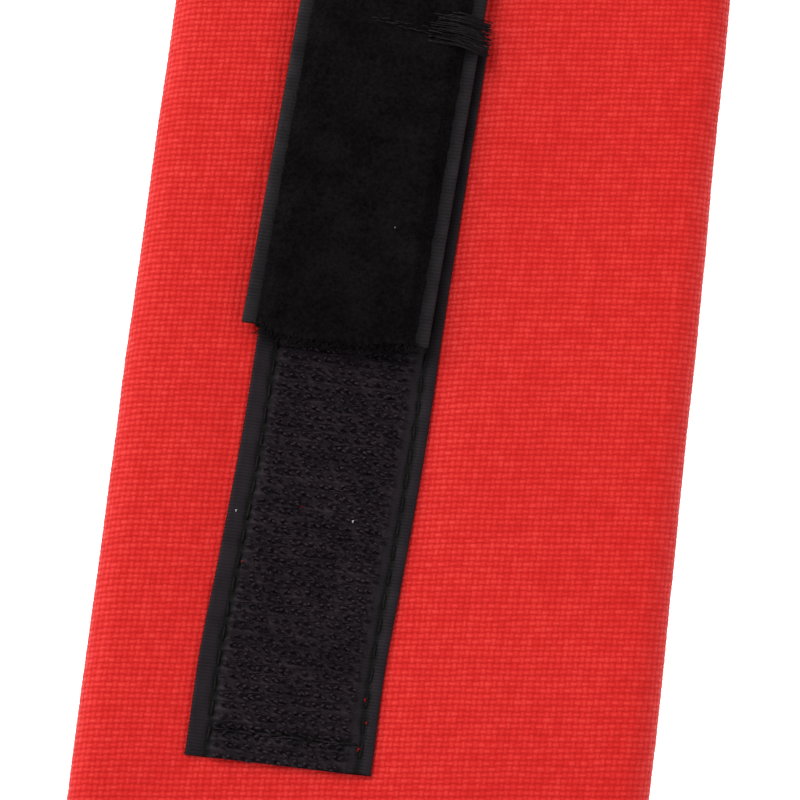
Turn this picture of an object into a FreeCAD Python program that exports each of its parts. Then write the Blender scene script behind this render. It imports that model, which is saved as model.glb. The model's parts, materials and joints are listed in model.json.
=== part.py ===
import FreeCAD, Part
import math
import os
import re
import Sketcher

# A padded pin cushion band worn on the wrist, lying open on its wrist side.
# X runs across the band, Y along it from the hook tape's end to the strap's end, and Z up from the wrist side at 0.
# The band is three segments that fold down at two lines across it, and the strap is sewn to its +Y end and folded
# back over the outer face.

# The driving dimensions, in millimetres and degrees.
SIZES = {
    # the padded band
    "band_width": 62.0,
    "band_length": 150.0,
    "band_height": 7.0,
    "side_radius": 3.0,
    "cloth": 0.5,  # cover and back panel
    "cover_margin": 4.0,  # the cover's edges, turned under along the wrist side
    "fold_line": 20.0,  # distance of each fold line from the middle
    "fold_gap": 0.2,
    "end_wall": 1.2,  # the cloth turned in at each end
    "slack": 0.1,  # between layers inside the band
    "guard_thickness": 0.6,
    "guard_width": 48.0,
    "guard_inset": 2.0,
    "guard_corner": 4.0,
    # the hook tape, placed by the middle of its lower end; its length is measured along the band
    "hook_tape_x": -9.0,
    "hook_tape_y": -63.0,
    "hook_tape_lean": 2.5,
    "hook_tape_width": 20.0,
    "hook_tape_length": 80.0,
    "hook_tape_thickness": 0.5,
    "hook_selvedge": 2.4,
    "hook_height": 1.0,
    "hook_cross_seam": 3.1,  # the row of stitches across, above the lower end
    # the strap, placed by the middle of the line where it folds back; its lengths are measured along the band
    "strap_x": -3.6,
    "strap_y": 77.2,
    "strap_z": 8.7,
    "strap_lean": 3.0,
    "strap_width": 20.5,
    "strap_selvedge": 1.8,
    "strap_tape_thickness": 0.5,
    "strap_pile": 1.2,
    "strap_lift": 0.1,  # between the fold's centre and the strap's back
    "strap_wrap_at": 3.0,
    "strap_crease_at": 60.2,
    "strap_length": 93.7,
    "strap_joint_gap": 0.1,
    "root_start": 3.2,
    "root_end": 23.2,
    # sewing thread
    "thread_radius": 0.13,
    "stitch_pitch": 2.6,
    "stitch_length": 2.0,
    "stitch_inset": 1.4,
    "thread_groove": 0.3,
    "end_seam_inset": 3.0,
}

ALONG_Y = FreeCAD.Vector(0, 1, 0)
ALONG_X = FreeCAD.Vector(1, 0, 0)
UP = FreeCAD.Vector(0, 0, 1)

doc = FreeCAD.newDocument("wrist_pin_cushion")
sheet = doc.addObject("Spreadsheet::Sheet", "sizes")
for row, (alias, number) in enumerate(SIZES.items(), start=1):
    sheet.set(f"A{row}", str(number))
    sheet.setAlias(f"A{row}", alias)
doc.recompute()

sub_parts = []


def size(alias):
    """A driving dimension as the sheet holds it."""
    return float(sheet.get(alias))


def bind(target, prop, text):
    """Ties a property to a formula, in which each alias is read from the sheet."""
    formula = re.sub(r"[a-z_]+", lambda word: f"sizes.{word[0]}" if word[0] in SIZES else word[0], text)
    target.setExpression(prop, formula)


def sub_part(target, label):
    """Names a finished sub-part, which is also its file's name."""
    target.Label = label
    sub_parts.append(target)
    return target


# ---- building blocks -------------------------------------------------------------------------------------------


def new_body(name, at=("0", "0", "0")):
    """An empty body, moved to a point given by formulas."""
    body = doc.addObject("PartDesign::Body", name)
    for axis, text in zip("xyz", at):
        bind(body, f"Placement.Base.{axis}", text)
    return body


def block(body, name, x, y, z, kind="Additive"):
    """Adds a box to a body, or takes one away, each side lying between two formulas."""
    box = body.newObject(f"PartDesign::{kind}Box", name)
    for axis, side, (low, high) in zip("xyz", ("Length", "Width", "Height"), (x, y, z)):
        bind(box, side, f"({high}) - ({low})")
        bind(box, f"Placement.Base.{axis}", low)
    return box


def both_sides(half):
    """The two formulas of a width centred on the middle."""
    return (f"-({half})", half)


def plane_sketch(body, name, role, offset):
    """A sketch on one of the body's own origin planes, moved along the plane's normal."""
    plane = next(p for p in body.Origin.OriginFeatures if p.Role == role)
    sketch = body.newObject("Sketcher::SketchObject", name)
    sketch.AttachmentSupport = (plane, [""])
    sketch.MapMode = "FlatFace"
    bind(sketch, "AttachmentOffset.Base.z", offset)
    return sketch


def section_sketch(body, name, at_y):
    """A sketch across the band, facing -Y, at a place along it."""
    return plane_sketch(body, name, "XZ_Plane", f"-({at_y})")


def rounded_rectangle(sketch, name, half_width, low, high, radius):
    """Draws a rectangle with round corners in a sketch, roughly at first, and sizes it by formulas."""
    x, bottom, top, r = 30.0, 1.0, 6.0, 2.0
    centres = [(x - r, bottom + r), (x - r, top - r), (r - x, top - r), (r - x, bottom + r)]
    arcs = []
    for quarter, (across, up) in enumerate(centres, start=-1):
        circle = Part.Circle(FreeCAD.Vector(across, up, 0), UP, r)
        start = quarter * math.pi / 2
        arcs.append(sketch.addGeometry(Part.ArcOfCircle(circle, start, start + math.pi / 2)))
    ends = [(x, bottom + r), (x, top - r), (x - r, top), (r - x, top)]
    ends += [(-x, top - r), (-x, bottom + r), (r - x, bottom), (x - r, bottom)]
    lines = []
    for start, end in zip(ends[::2], ends[1::2]):
        segment = Part.LineSegment(FreeCAD.Vector(*start, 0), FreeCAD.Vector(*end, 0))
        lines.append(sketch.addGeometry(segment))
    right, upper, left, lower = lines
    for i, line in enumerate(lines):
        sketch.addConstraint(Sketcher.Constraint("Tangent", arcs[i], 2, line, 1))
        sketch.addConstraint(Sketcher.Constraint("Tangent", line, 2, arcs[(i + 1) % 4], 1))
    for line in (upper, lower):
        sketch.addConstraint(Sketcher.Constraint("Horizontal", line))
    for line in (right, left):
        sketch.addConstraint(Sketcher.Constraint("Vertical", line))
    for arc in arcs[1:]:
        sketch.addConstraint(Sketcher.Constraint("Equal", arcs[0], arc))
    sizes = {
        "radius": (Sketcher.Constraint("Radius", arcs[0], r), radius),
        "right": (Sketcher.Constraint("DistanceX", -1, 1, right, 1, x), half_width),
        "left": (Sketcher.Constraint("DistanceX", left, 1, -1, 1, x), half_width),
        "low": (Sketcher.Constraint("DistanceY", -1, 1, lower, 1, bottom), low),
        "high": (Sketcher.Constraint("DistanceY", -1, 1, upper, 1, top), high),
    }
    for word, (constraint, text) in sizes.items():
        index = sketch.addConstraint(constraint)
        sketch.renameConstraint(index, f"{name}_{word}")
        bind(sketch, f"Constraints.{name}_{word}", text)


def leaning_strip(body, name, half_width, y, z, lean):
    """Pads a strip of tape that leans to one side along the body, with both ends square to the band."""
    low, high = y
    sketch = plane_sketch(body, f"{name}_outline", "XY_Plane", z[0])
    edge = f"({half_width}) / cos({lean} * 1deg)"
    corners = [
        (f"({place}) * tan({lean} * 1deg) {sign} {edge}", place)
        for place, sign in ((low, "-"), (low, "+"), (high, "+"), (high, "-"))
    ]
    rough = [FreeCAD.Vector(*at, 0) for at in ((-9, -9), (9, -9), (9, 9), (-9, 9))]
    for i, (x_formula, y_formula) in enumerate(corners):
        line = sketch.addGeometry(Part.LineSegment(rough[i], rough[(i + 1) % 4]))
        for kind, value, formula in (("X", rough[i].x, x_formula), ("Y", rough[i].y, y_formula)):
            word = f"corner_{i}_{kind}"
            index = sketch.addConstraint(Sketcher.Constraint(f"Distance{kind}", -1, 1, line, 1, value))
            sketch.renameConstraint(index, word)
            bind(sketch, f"Constraints.{word}", formula)
    for i in range(4):
        sketch.addConstraint(Sketcher.Constraint("Coincident", i, 2, (i + 1) % 4, 1))
    return pad_sketch(body, name, sketch, f"({z[1]}) - ({z[0]})")


def pad_sketch(body, name, sketch, length):
    """Pads a sketch along its normal, which is -Y for a section and +Z for an outline."""
    pad = body.newObject("PartDesign::Pad", name)
    pad.Profile = sketch
    bind(pad, "Length", length)
    return pad


def round_upright_edges(body, name, base, radius):
    """Rounds the four upright corner edges of a plate."""
    doc.recompute()
    edges = [
        f"Edge{i}"
        for i, edge in enumerate(base.Shape.Edges, start=1)
        if abs(edge.tangentAt(edge.FirstParameter).z) > 0.9
    ]
    fillet = body.newObject("PartDesign::Fillet", name)
    fillet.Base = (base, edges)
    bind(fillet, "Radius", radius)


def stitch(start, direction):
    """One visible stitch of thread from a point, along a unit direction."""
    return Part.makeCylinder(size("thread_radius"), size("stitch_length"), start, direction)


def stitch_row(start, direction, length):
    """The stitches that fit on a straight seam, spread evenly from its start."""
    step = size("stitch_pitch")
    count = int((length - size("stitch_length")) // step) + 1
    return [stitch(start + direction * (i * step), direction) for i in range(count)]


def thread_group(label, stitches, at=FreeCAD.Vector()):
    """All the stitches of one seam as one sub-part of separate solids, moved to a point."""
    feature = doc.addObject("Part::Feature", label)
    feature.Shape = Part.Compound(stitches)
    feature.Placement = FreeCAD.Placement(at, FreeCAD.Rotation())
    return sub_part(feature, label)


# ---- the padded band -------------------------------------------------------------------------------------------

# Each segment lies between two places along the band.
SEGMENTS = {
    "hook_end": ("-band_length / 2", "-fold_line - fold_gap / 2"),
    "middle": ("-fold_line + fold_gap / 2", "fold_line - fold_gap / 2"),
    "strap_end": ("fold_line + fold_gap / 2", "band_length / 2"),
}
SEGMENT_ENDS = {
    "hook_end": (-size("band_length") / 2, -size("fold_line") - size("fold_gap") / 2),
    "middle": (-size("fold_line") + size("fold_gap") / 2, size("fold_line") - size("fold_gap") / 2),
    "strap_end": (size("fold_line") + size("fold_gap") / 2, size("band_length") / 2),
}
FLAT_HALF = "band_width / 2 - side_radius"  # half the width of the flat face between the round sides


def inner_span(segment):
    """A segment's span less the cloth turned in at the band's ends."""
    low, high = SEGMENTS[segment]
    if segment == "hook_end":
        low = f"{low} + end_wall + slack"
    if segment == "strap_end":
        high = f"{high} - end_wall - slack"
    return low, high


def outer_cover(segment):
    """The cover: a hollow section with round sides, open along the wrist side between its turned-under margins."""
    low, high = SEGMENTS[segment]
    body = new_body(f"outer_cover_{segment}")
    sketch = section_sketch(body, f"cover_section_{segment}", high)
    rounded_rectangle(sketch, "outside", "band_width / 2", "cloth", "band_height", "side_radius")
    rounded_rectangle(
        sketch, "inside", "band_width / 2 - cloth", "2 * cloth", "band_height - cloth", "side_radius - cloth"
    )
    pad_sketch(body, f"cover_{segment}", sketch, f"({high}) - ({low})")
    opening = both_sides(f"{FLAT_HALF} - cover_margin")
    block(body, f"wrist_side_{segment}", opening, (low, high), ("cloth / 2", "2.5 * cloth"), "Subtractive")
    sub_part(body, body.Name)


def back_panel(segment):
    """The wrist-side panel, with a shallow channel near each edge where the thread sinks in."""
    low, high = SEGMENTS[segment]
    body = new_body(f"back_panel_{segment}")
    block(body, f"panel_{segment}", both_sides(FLAT_HALF), (low, high), ("0", "cloth"))
    edge = f"{FLAT_HALF} - stitch_inset"
    sides = {
        "left": (f"-({edge}) - thread_groove", f"-({edge}) + thread_groove"),
        "right": (f"{edge} - thread_groove", f"{edge} + thread_groove"),
    }
    for side, span in sides.items():
        block(body, f"channel_{side}_{segment}", span, (low, high), ("0", "thread_groove"), "Subtractive")
    sub_part(body, body.Name)


def back_stitches(segment):
    """The thread that joins the panel to the cover, lying in the panel's two channels."""
    low, high = SEGMENT_ENDS[segment]
    edge = size("band_width") / 2 - size("side_radius") - size("stitch_inset")
    height = size("thread_radius") + size("slack") / 5
    margin = size("stitch_pitch") - size("stitch_length")
    stitches = []
    for x in (-edge, edge):
        start = FreeCAD.Vector(x, low + margin, height)
        stitches += stitch_row(start, ALONG_Y, high - low - 2 * margin)
    thread_group(f"back_stitches_{segment}", stitches)


def cushion_pad(segment):
    """The soft filling, a flat pad with round sides that lies above the guard plate."""
    low, high = inner_span(segment)
    body = new_body(f"cushion_pad_{segment}")
    sketch = section_sketch(body, f"pad_section_{segment}", high)
    rounded_rectangle(
        sketch,
        "pad",
        "band_width / 2 - cloth - 2 * slack",
        "2 * cloth + guard_thickness + 2 * slack",
        "band_height - cloth - slack",
        "side_radius - cloth - 3 * slack",
    )
    pad_sketch(body, f"pad_{segment}", sketch, f"({high}) - ({low})")
    sub_part(body, body.Name)


def guard_plate(segment):
    """The thin plate that keeps pin points off the wrist, stopping short of the fold lines."""
    low, high = inner_span(segment)
    body = new_body(f"guard_plate_{segment}")
    plate = block(
        body,
        f"plate_{segment}",
        both_sides("guard_width / 2"),
        (f"{low} + guard_inset", f"{high} - guard_inset"),
        ("2 * cloth + slack", "2 * cloth + slack + guard_thickness"),
    )
    round_upright_edges(body, f"plate_corners_{segment}", plate, "guard_corner")
    sub_part(body, body.Name)


def end_closure(segment):
    """The cover's cloth turned in to close one end of the band."""
    low, high = SEGMENTS[segment]
    at_y = f"{low} + end_wall" if segment == "hook_end" else high
    body = new_body(f"end_closure_{segment}")
    sketch = section_sketch(body, f"end_section_{segment}", at_y)
    rounded_rectangle(
        sketch,
        "end",
        "band_width / 2 - cloth - slack",
        "2 * cloth + slack",
        "band_height - cloth - slack",
        "side_radius - cloth - slack",
    )
    pad_sketch(body, f"end_{segment}", sketch, "end_wall")
    sub_part(body, body.Name)


def end_stitches(segment, skip=None):
    """The topstitching across one end of the outer face, apart from a span that another piece covers."""
    y = size("band_length") / 2 - size("end_seam_inset")
    if segment == "hook_end":
        y = -y
    half = size("band_width") / 2 - size("side_radius")
    start = FreeCAD.Vector(-half, y, size("band_height") + size("thread_radius") + size("slack") / 5)
    row = stitch_row(start, ALONG_X, 2 * half)
    if skip:
        row = [s for s in row if s.BoundBox.XMax < skip[0] or s.BoundBox.XMin > skip[1]]
    thread_group(f"end_stitches_{segment}", row)


# ---- the hook tape ---------------------------------------------------------------------------------------------

HOOK_TAPE_AT = ("hook_tape_x", "hook_tape_y", "band_height")
HOOK_FIELD_HALF = "hook_tape_width / 2 - hook_selvedge"
# The tape crosses one fold line. Each stretch lies between two distances from the tape's lower end.
HOOK_TAPE_STRETCHES = {
    "hook_end": ("0", "-fold_line - fold_gap / 2 - hook_tape_y"),
    "middle": ("-fold_line + fold_gap / 2 - hook_tape_y", "hook_tape_length"),
}


def hook_tape(segment):
    """One stretch of the woven tape."""
    body = new_body(f"hook_tape_{segment}", HOOK_TAPE_AT)
    thickness = ("0", "hook_tape_thickness")
    stretch = HOOK_TAPE_STRETCHES[segment]
    leaning_strip(body, f"tape_{segment}", "hook_tape_width / 2", stretch, thickness, "hook_tape_lean")
    sub_part(body, body.Name)


def hook_field(segment):
    """The hooks on one stretch of the tape, as a block, trodden down where the cross seam runs."""
    low, high = HOOK_TAPE_STRETCHES[segment]
    body = new_body(f"hook_field_{segment}", HOOK_TAPE_AT)
    height = ("hook_tape_thickness", "hook_tape_thickness + hook_height")
    stretch = (f"{low} + slack", f"{high} - slack")
    leaning_strip(body, f"hooks_{segment}", HOOK_FIELD_HALF, stretch, height, "hook_tape_lean")
    if segment == "hook_end":
        seam = ("hook_cross_seam - thread_groove", "hook_cross_seam + thread_groove")
        above = ("hook_tape_thickness + slack", "hook_tape_thickness + 2 * hook_height")
        block(body, "cross_seam_gap", both_sides("hook_tape_width"), seam, above, "Subtractive")
    sub_part(body, body.Name)


def hook_tape_stitches():
    """Two seams along the selvedges and one across near the lower end, shared out between the two stretches."""
    lean = math.radians(size("hook_tape_lean"))
    along = FreeCAD.Vector(math.sin(lean), math.cos(lean), 0)
    half_field = size("hook_tape_width") / 2 - size("hook_selvedge")
    side = (half_field + 2 * size("thread_radius")) / math.cos(lean)
    on_tape = size("hook_tape_thickness") + size("thread_radius") + size("slack") / 5
    seam, step = size("hook_cross_seam"), size("stitch_pitch")
    first = seam + step
    rows = []
    for x in (-side, side):
        start = FreeCAD.Vector(x + first * math.tan(lean), first, on_tape)
        rows += stitch_row(start, along, size("hook_tape_length") - first - step)
    left = seam * math.tan(lean) - half_field + size("stitch_length") / 2
    rows += stitch_row(FreeCAD.Vector(left, seam, on_tape + size("slack")), ALONG_X, 2 * half_field)

    at = FreeCAD.Vector(size("hook_tape_x"), size("hook_tape_y"), size("band_height"))
    for segment in HOOK_TAPE_STRETCHES:
        low, high = (end - at.y for end in SEGMENT_ENDS[segment])
        held = [thread for thread in rows if low < thread.BoundBox.YMin and thread.BoundBox.YMax < high]
        thread_group(f"hook_tape_stitches_{segment}", held, at)


# ---- the strap -------------------------------------------------------------------------------------------------

STRAP_AT = ("strap_x", "strap_y", "strap_z")
STRAP_HALF = "strap_width / 2"
PILE_HALF = "strap_width / 2 - strap_selvedge"
STRAP_BACK = "strap_lift"
STRAP_PILE_FOOT = "strap_lift + strap_tape_thickness"
STRAP_TOP = "strap_lift + strap_tape_thickness + strap_pile"
ROOT_FLOOR = "band_height - strap_z"  # the outer face of the band, as seen from the fold's centre


def strap_root():
    """The sewn-down end of the strap, pile down; it leans the other way because the strap folds back over it."""
    span = ("-root_end", "-root_start")
    middle = f"{ROOT_FLOOR} + strap_tape_thickness"
    pile = new_body("strap_root_pile", STRAP_AT)
    leaning_strip(pile, "pressed_pile", PILE_HALF, span, (ROOT_FLOOR, middle), "-strap_lean")
    sub_part(pile, pile.Name)
    tape = new_body("strap_root_tape", STRAP_AT)
    back = (middle, f"{middle} + strap_tape_thickness")
    leaning_strip(tape, "root_tape", STRAP_HALF, span, back, "-strap_lean")
    sub_part(tape, tape.Name)


def strap_root_stitches():
    """A box of stitching that holds the strap's root to the band."""
    lean = -math.radians(size("strap_lean"))
    along = FreeCAD.Vector(math.sin(lean), math.cos(lean), 0)
    inset = size("stitch_inset")
    half = (size("strap_width") / 2 - inset) / math.cos(lean)
    back, front = -size("root_end") + inset, -size("root_start") - inset
    root_top = size("band_height") - size("strap_z") + 2 * size("strap_tape_thickness")
    height = root_top + size("thread_radius") + size("slack") / 5
    clear = 2 * size("thread_radius")
    rows = []
    for x in (-half, half):
        rows += stitch_row(FreeCAD.Vector(x + back * math.tan(lean), back, height), along, front - back)
    for y in (back - clear, front + clear):
        left = y * math.tan(lean) - half + clear
        rows += stitch_row(FreeCAD.Vector(left, y, height), ALONG_X, 2 * half - 2 * clear)
    at = FreeCAD.Vector(size("strap_x"), size("strap_y"), size("strap_z"))
    thread_group("strap_root_stitches", rows, at)


def strap_turn():
    """The short stretch that turns over at the band's end, with its round nose about the fold's centre."""
    body = new_body("strap_turn", STRAP_AT)
    nose = body.newObject("PartDesign::AdditiveCylinder", "fold_nose")
    bind(nose, "Radius", STRAP_TOP)
    bind(nose, "Height", "strap_width")
    nose.Placement.Rotation = FreeCAD.Rotation(ALONG_Y, 90)
    bind(nose, "Placement.Base.x", f"-({STRAP_HALF})")
    span = ("-strap_wrap_at + strap_joint_gap / 2", "0")
    leaning_strip(body, "turned_tape", STRAP_HALF, span, (STRAP_BACK, STRAP_TOP), "strap_lean")
    sub_part(body, body.Name)


def strap_stretch(name, near, far):
    """One straight stretch of the free strap, its woven tape below and its pile on top."""
    span = (f"-({far})", f"-({near})")
    tape = new_body(f"{name}_tape", STRAP_AT)
    leaning_strip(tape, f"{name}_back", STRAP_HALF, span, (STRAP_BACK, STRAP_PILE_FOOT), "strap_lean")
    sub_part(tape, tape.Name)
    pile = new_body(f"{name}_pile", STRAP_AT)
    leaning_strip(pile, f"{name}_loops", PILE_HALF, span, (STRAP_PILE_FOOT, STRAP_TOP), "strap_lean")
    sub_part(pile, pile.Name)


# ---- the whole object ------------------------------------------------------------------------------------------

for segment_name in SEGMENTS:
    outer_cover(segment_name)
    back_panel(segment_name)
    back_stitches(segment_name)
    cushion_pad(segment_name)
    guard_plate(segment_name)

root_half = size("strap_width") / 2 + size("stitch_pitch")
end_closure("hook_end")
end_closure("strap_end")
end_stitches("hook_end")
end_stitches("strap_end", skip=(size("strap_x") - root_half, size("strap_x") + root_half))

for segment_name in HOOK_TAPE_STRETCHES:
    hook_tape(segment_name)
    hook_field(segment_name)
hook_tape_stitches()

strap_root()
strap_root_stitches()
strap_turn()
strap_stretch("strap_flap", "strap_wrap_at + strap_joint_gap / 2", "strap_crease_at - strap_joint_gap / 2")
strap_stretch("strap_tip", "strap_crease_at + strap_joint_gap / 2", "strap_length")

doc.recompute()

for item in doc.Objects:
    if {"Invalid", "Error"} & set(item.State):
        raise RuntimeError(f"{item.Label} did not recompute: {item.State}")
for item in sub_parts:
    if item.Shape.isNull() or not item.Shape.isValid():
        raise RuntimeError(f"{item.Label} has no valid shape")

os.makedirs("parts", exist_ok=True)
for item in sub_parts:
    item.Shape.exportStep(f"parts/{item.Label}.step")
    print(f"{item.Label}: {len(item.Shape.Solids)} solids, {item.Shape.Volume:.1f} mm3")
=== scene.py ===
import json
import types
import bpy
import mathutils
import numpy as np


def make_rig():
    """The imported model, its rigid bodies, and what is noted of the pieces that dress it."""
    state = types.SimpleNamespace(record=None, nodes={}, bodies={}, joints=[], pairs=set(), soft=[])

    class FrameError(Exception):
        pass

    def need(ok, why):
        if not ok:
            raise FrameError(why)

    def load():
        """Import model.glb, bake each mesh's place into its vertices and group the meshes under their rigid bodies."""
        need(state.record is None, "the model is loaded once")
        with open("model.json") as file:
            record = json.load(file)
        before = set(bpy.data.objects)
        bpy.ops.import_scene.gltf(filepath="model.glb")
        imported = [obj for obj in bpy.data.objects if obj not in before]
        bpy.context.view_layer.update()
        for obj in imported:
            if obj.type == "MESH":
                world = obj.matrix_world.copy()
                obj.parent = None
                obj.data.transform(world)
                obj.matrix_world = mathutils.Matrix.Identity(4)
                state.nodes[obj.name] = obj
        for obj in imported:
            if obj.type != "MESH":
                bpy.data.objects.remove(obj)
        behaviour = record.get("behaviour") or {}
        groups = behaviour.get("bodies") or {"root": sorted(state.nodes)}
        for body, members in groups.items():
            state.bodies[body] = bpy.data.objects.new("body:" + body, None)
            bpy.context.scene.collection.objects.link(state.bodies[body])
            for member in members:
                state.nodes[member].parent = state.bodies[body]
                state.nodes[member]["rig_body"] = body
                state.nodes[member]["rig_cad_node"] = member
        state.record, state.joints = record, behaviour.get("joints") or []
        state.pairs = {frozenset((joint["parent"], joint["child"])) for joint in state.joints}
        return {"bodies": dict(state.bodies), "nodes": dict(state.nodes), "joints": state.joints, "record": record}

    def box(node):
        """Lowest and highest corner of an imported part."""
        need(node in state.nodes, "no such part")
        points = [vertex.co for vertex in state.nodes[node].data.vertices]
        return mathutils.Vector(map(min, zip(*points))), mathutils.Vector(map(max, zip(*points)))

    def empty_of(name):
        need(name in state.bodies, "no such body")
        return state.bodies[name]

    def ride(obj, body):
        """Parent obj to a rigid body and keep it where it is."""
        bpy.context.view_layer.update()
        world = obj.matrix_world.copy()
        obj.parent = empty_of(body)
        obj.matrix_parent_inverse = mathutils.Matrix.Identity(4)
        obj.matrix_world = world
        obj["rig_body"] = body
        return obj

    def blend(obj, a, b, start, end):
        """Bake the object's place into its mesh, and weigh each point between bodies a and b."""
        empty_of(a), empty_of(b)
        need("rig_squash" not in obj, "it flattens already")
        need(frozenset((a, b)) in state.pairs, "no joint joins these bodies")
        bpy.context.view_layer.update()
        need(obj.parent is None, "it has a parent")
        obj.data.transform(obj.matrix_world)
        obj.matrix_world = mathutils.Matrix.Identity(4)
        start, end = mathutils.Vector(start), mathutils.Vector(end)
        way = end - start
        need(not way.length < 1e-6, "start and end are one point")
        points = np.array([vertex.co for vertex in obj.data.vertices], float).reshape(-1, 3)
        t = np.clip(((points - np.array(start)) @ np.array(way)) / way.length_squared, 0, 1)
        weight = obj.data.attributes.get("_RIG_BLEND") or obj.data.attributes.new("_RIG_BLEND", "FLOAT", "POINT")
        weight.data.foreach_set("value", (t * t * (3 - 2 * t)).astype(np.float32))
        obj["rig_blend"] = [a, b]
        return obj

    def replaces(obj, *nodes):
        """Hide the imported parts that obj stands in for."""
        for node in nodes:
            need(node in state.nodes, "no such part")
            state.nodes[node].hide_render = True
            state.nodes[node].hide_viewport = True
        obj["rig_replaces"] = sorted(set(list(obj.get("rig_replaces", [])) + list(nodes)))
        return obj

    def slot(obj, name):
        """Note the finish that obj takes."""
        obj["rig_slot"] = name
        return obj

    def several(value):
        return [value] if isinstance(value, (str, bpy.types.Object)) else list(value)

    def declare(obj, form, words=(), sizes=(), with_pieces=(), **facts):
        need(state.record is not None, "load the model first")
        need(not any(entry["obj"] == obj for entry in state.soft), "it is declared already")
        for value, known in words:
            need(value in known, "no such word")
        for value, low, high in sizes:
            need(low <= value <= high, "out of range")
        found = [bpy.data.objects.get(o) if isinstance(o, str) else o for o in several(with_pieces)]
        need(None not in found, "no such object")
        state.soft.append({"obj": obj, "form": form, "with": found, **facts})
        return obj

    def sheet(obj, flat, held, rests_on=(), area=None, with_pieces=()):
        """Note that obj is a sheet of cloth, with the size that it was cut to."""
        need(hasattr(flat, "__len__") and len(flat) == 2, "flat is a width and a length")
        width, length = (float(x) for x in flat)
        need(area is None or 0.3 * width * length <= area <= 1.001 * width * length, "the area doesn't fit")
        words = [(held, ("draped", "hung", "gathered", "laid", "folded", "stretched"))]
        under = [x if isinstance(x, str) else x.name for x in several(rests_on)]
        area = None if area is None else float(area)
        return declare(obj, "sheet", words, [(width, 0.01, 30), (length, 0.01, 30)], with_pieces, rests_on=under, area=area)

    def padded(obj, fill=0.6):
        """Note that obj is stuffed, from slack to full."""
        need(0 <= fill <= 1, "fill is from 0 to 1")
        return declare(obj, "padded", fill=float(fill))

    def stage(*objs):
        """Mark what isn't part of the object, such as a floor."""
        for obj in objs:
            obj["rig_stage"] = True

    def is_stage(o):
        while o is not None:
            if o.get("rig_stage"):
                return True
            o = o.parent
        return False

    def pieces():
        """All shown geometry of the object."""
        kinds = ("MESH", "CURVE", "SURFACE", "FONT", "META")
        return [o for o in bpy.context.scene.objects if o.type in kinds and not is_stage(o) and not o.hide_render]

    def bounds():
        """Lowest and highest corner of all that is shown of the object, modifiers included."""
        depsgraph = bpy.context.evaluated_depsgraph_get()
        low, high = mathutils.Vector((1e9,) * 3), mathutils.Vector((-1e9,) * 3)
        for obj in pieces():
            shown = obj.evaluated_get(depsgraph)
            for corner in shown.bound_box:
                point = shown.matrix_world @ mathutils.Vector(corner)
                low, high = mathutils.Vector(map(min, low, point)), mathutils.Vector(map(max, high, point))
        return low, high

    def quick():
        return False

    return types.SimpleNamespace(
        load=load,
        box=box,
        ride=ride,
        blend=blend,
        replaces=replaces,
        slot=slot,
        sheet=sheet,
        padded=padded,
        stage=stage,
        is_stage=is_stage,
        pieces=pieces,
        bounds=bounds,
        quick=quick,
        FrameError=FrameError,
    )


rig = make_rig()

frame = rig.load()

import json
import math

import bpy
import numpy as np
from mathutils import Matrix, Vector

CAD_BOX = [list(corner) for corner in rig.bounds()]
MM = 0.001
rng = np.random.default_rng(7)

# ---- sizes in millimetres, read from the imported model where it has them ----


def node_box(name):
    """The lowest and highest corner of a CAD node in millimetres."""
    return [np.array(corner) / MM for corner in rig.box(name)]


COVER_LOW, COVER_HIGH = node_box("outer_cover_strap_end")
HALF_WIDTH, HALF_LENGTH = COVER_HIGH[0], COVER_HIGH[1]
COVER_BOTTOM, TOP = COVER_LOW[2], COVER_HIGH[2]
SIDE_RADIUS = 3.0
TURNED_UNDER = 4.0  # the cover's margin under the back panel
FLAT_HALF = HALF_WIDTH - SIDE_RADIUS
QUARTER = SIDE_RADIUS * math.pi / 2
SIDE_FLAT = TOP - COVER_BOTTOM - 2 * SIDE_RADIUS
UNDERSIDE_FROM = FLAT_HALF + 2 * QUARTER + SIDE_FLAT
COVER_HALF = UNDERSIDE_FROM + TURNED_UNDER
END_RADIUS, TUCK_RADIUS, TUCK_LENGTH = 2.6, 0.3, 1.6
ROUNDED_FROM = HALF_LENGTH - END_RADIUS
TUCKED_FROM = ROUNDED_FROM + (END_RADIUS + TUCK_RADIUS) * math.pi / 2
END_PATH = TUCKED_FROM + TUCK_LENGTH
SEAM_Y = HALF_LENGTH - 3.0
PANEL_HALF, PANEL_ROLL, PANEL_HEM, PANEL_SEAM = 27.75, 0.25, 1.0, 26.6

FOLD_Y, FOLD_REACH = 20.0, 6.5
PIECE_CUT = 57.5  # in weft threads from the middle
YARN, YARN_SAMPLES = 0.65, 3
WEFT_SLOPE = 0.1166
FLOAT_SHIFT = 0.11  # how far a float pushes its neighbours aside, in threads

TAPE_X, TAPE_Y, TAPE_LENGTH, TAPE_HALF = -9.0, -63.0, 81.2, 10.0
TAPE_SLOPE = math.tan(math.radians(2.5))
TAPE_THICK, TAPE_SELVEDGE, TAPE_RIB = 0.5, 2.3, 0.36
HOOK_ROW, HOOK_COLUMN, HOOK_PHASE, HOOKED_HALF = 1.07, 1.15, 0.3, 7.2
SEAM_P = {-1: -7.8, 1: 8.5}  # where the tape's two long seams run
CROSS_SEAM = 3.1

STRAP_X, STRAP_Y, STRAP_HALF = -3.6, 77.2, 10.25
STRAP_SLOPE = math.tan(math.radians(3.0))
STRAP_THICK, STRAP_SELVEDGE, STRAP_RIB = 0.5, 1.9, 0.4
PILED_HALF = STRAP_HALF - STRAP_SELVEDGE * 0.8
ROOT_FROM, ROOT_TO, ROOT_TAPE = 54.0, 74.0, 7.5
FLAP_TAPE, CREASE_Y, TIP_CUT, TIP_Y = 9.3, 17.0, 34.0, -16.5
PILE_FLAP, PILE_ROOT = 1.15, 0.45
TIP_SLANT = 0.0268  # the tip was cut a little askew

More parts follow.
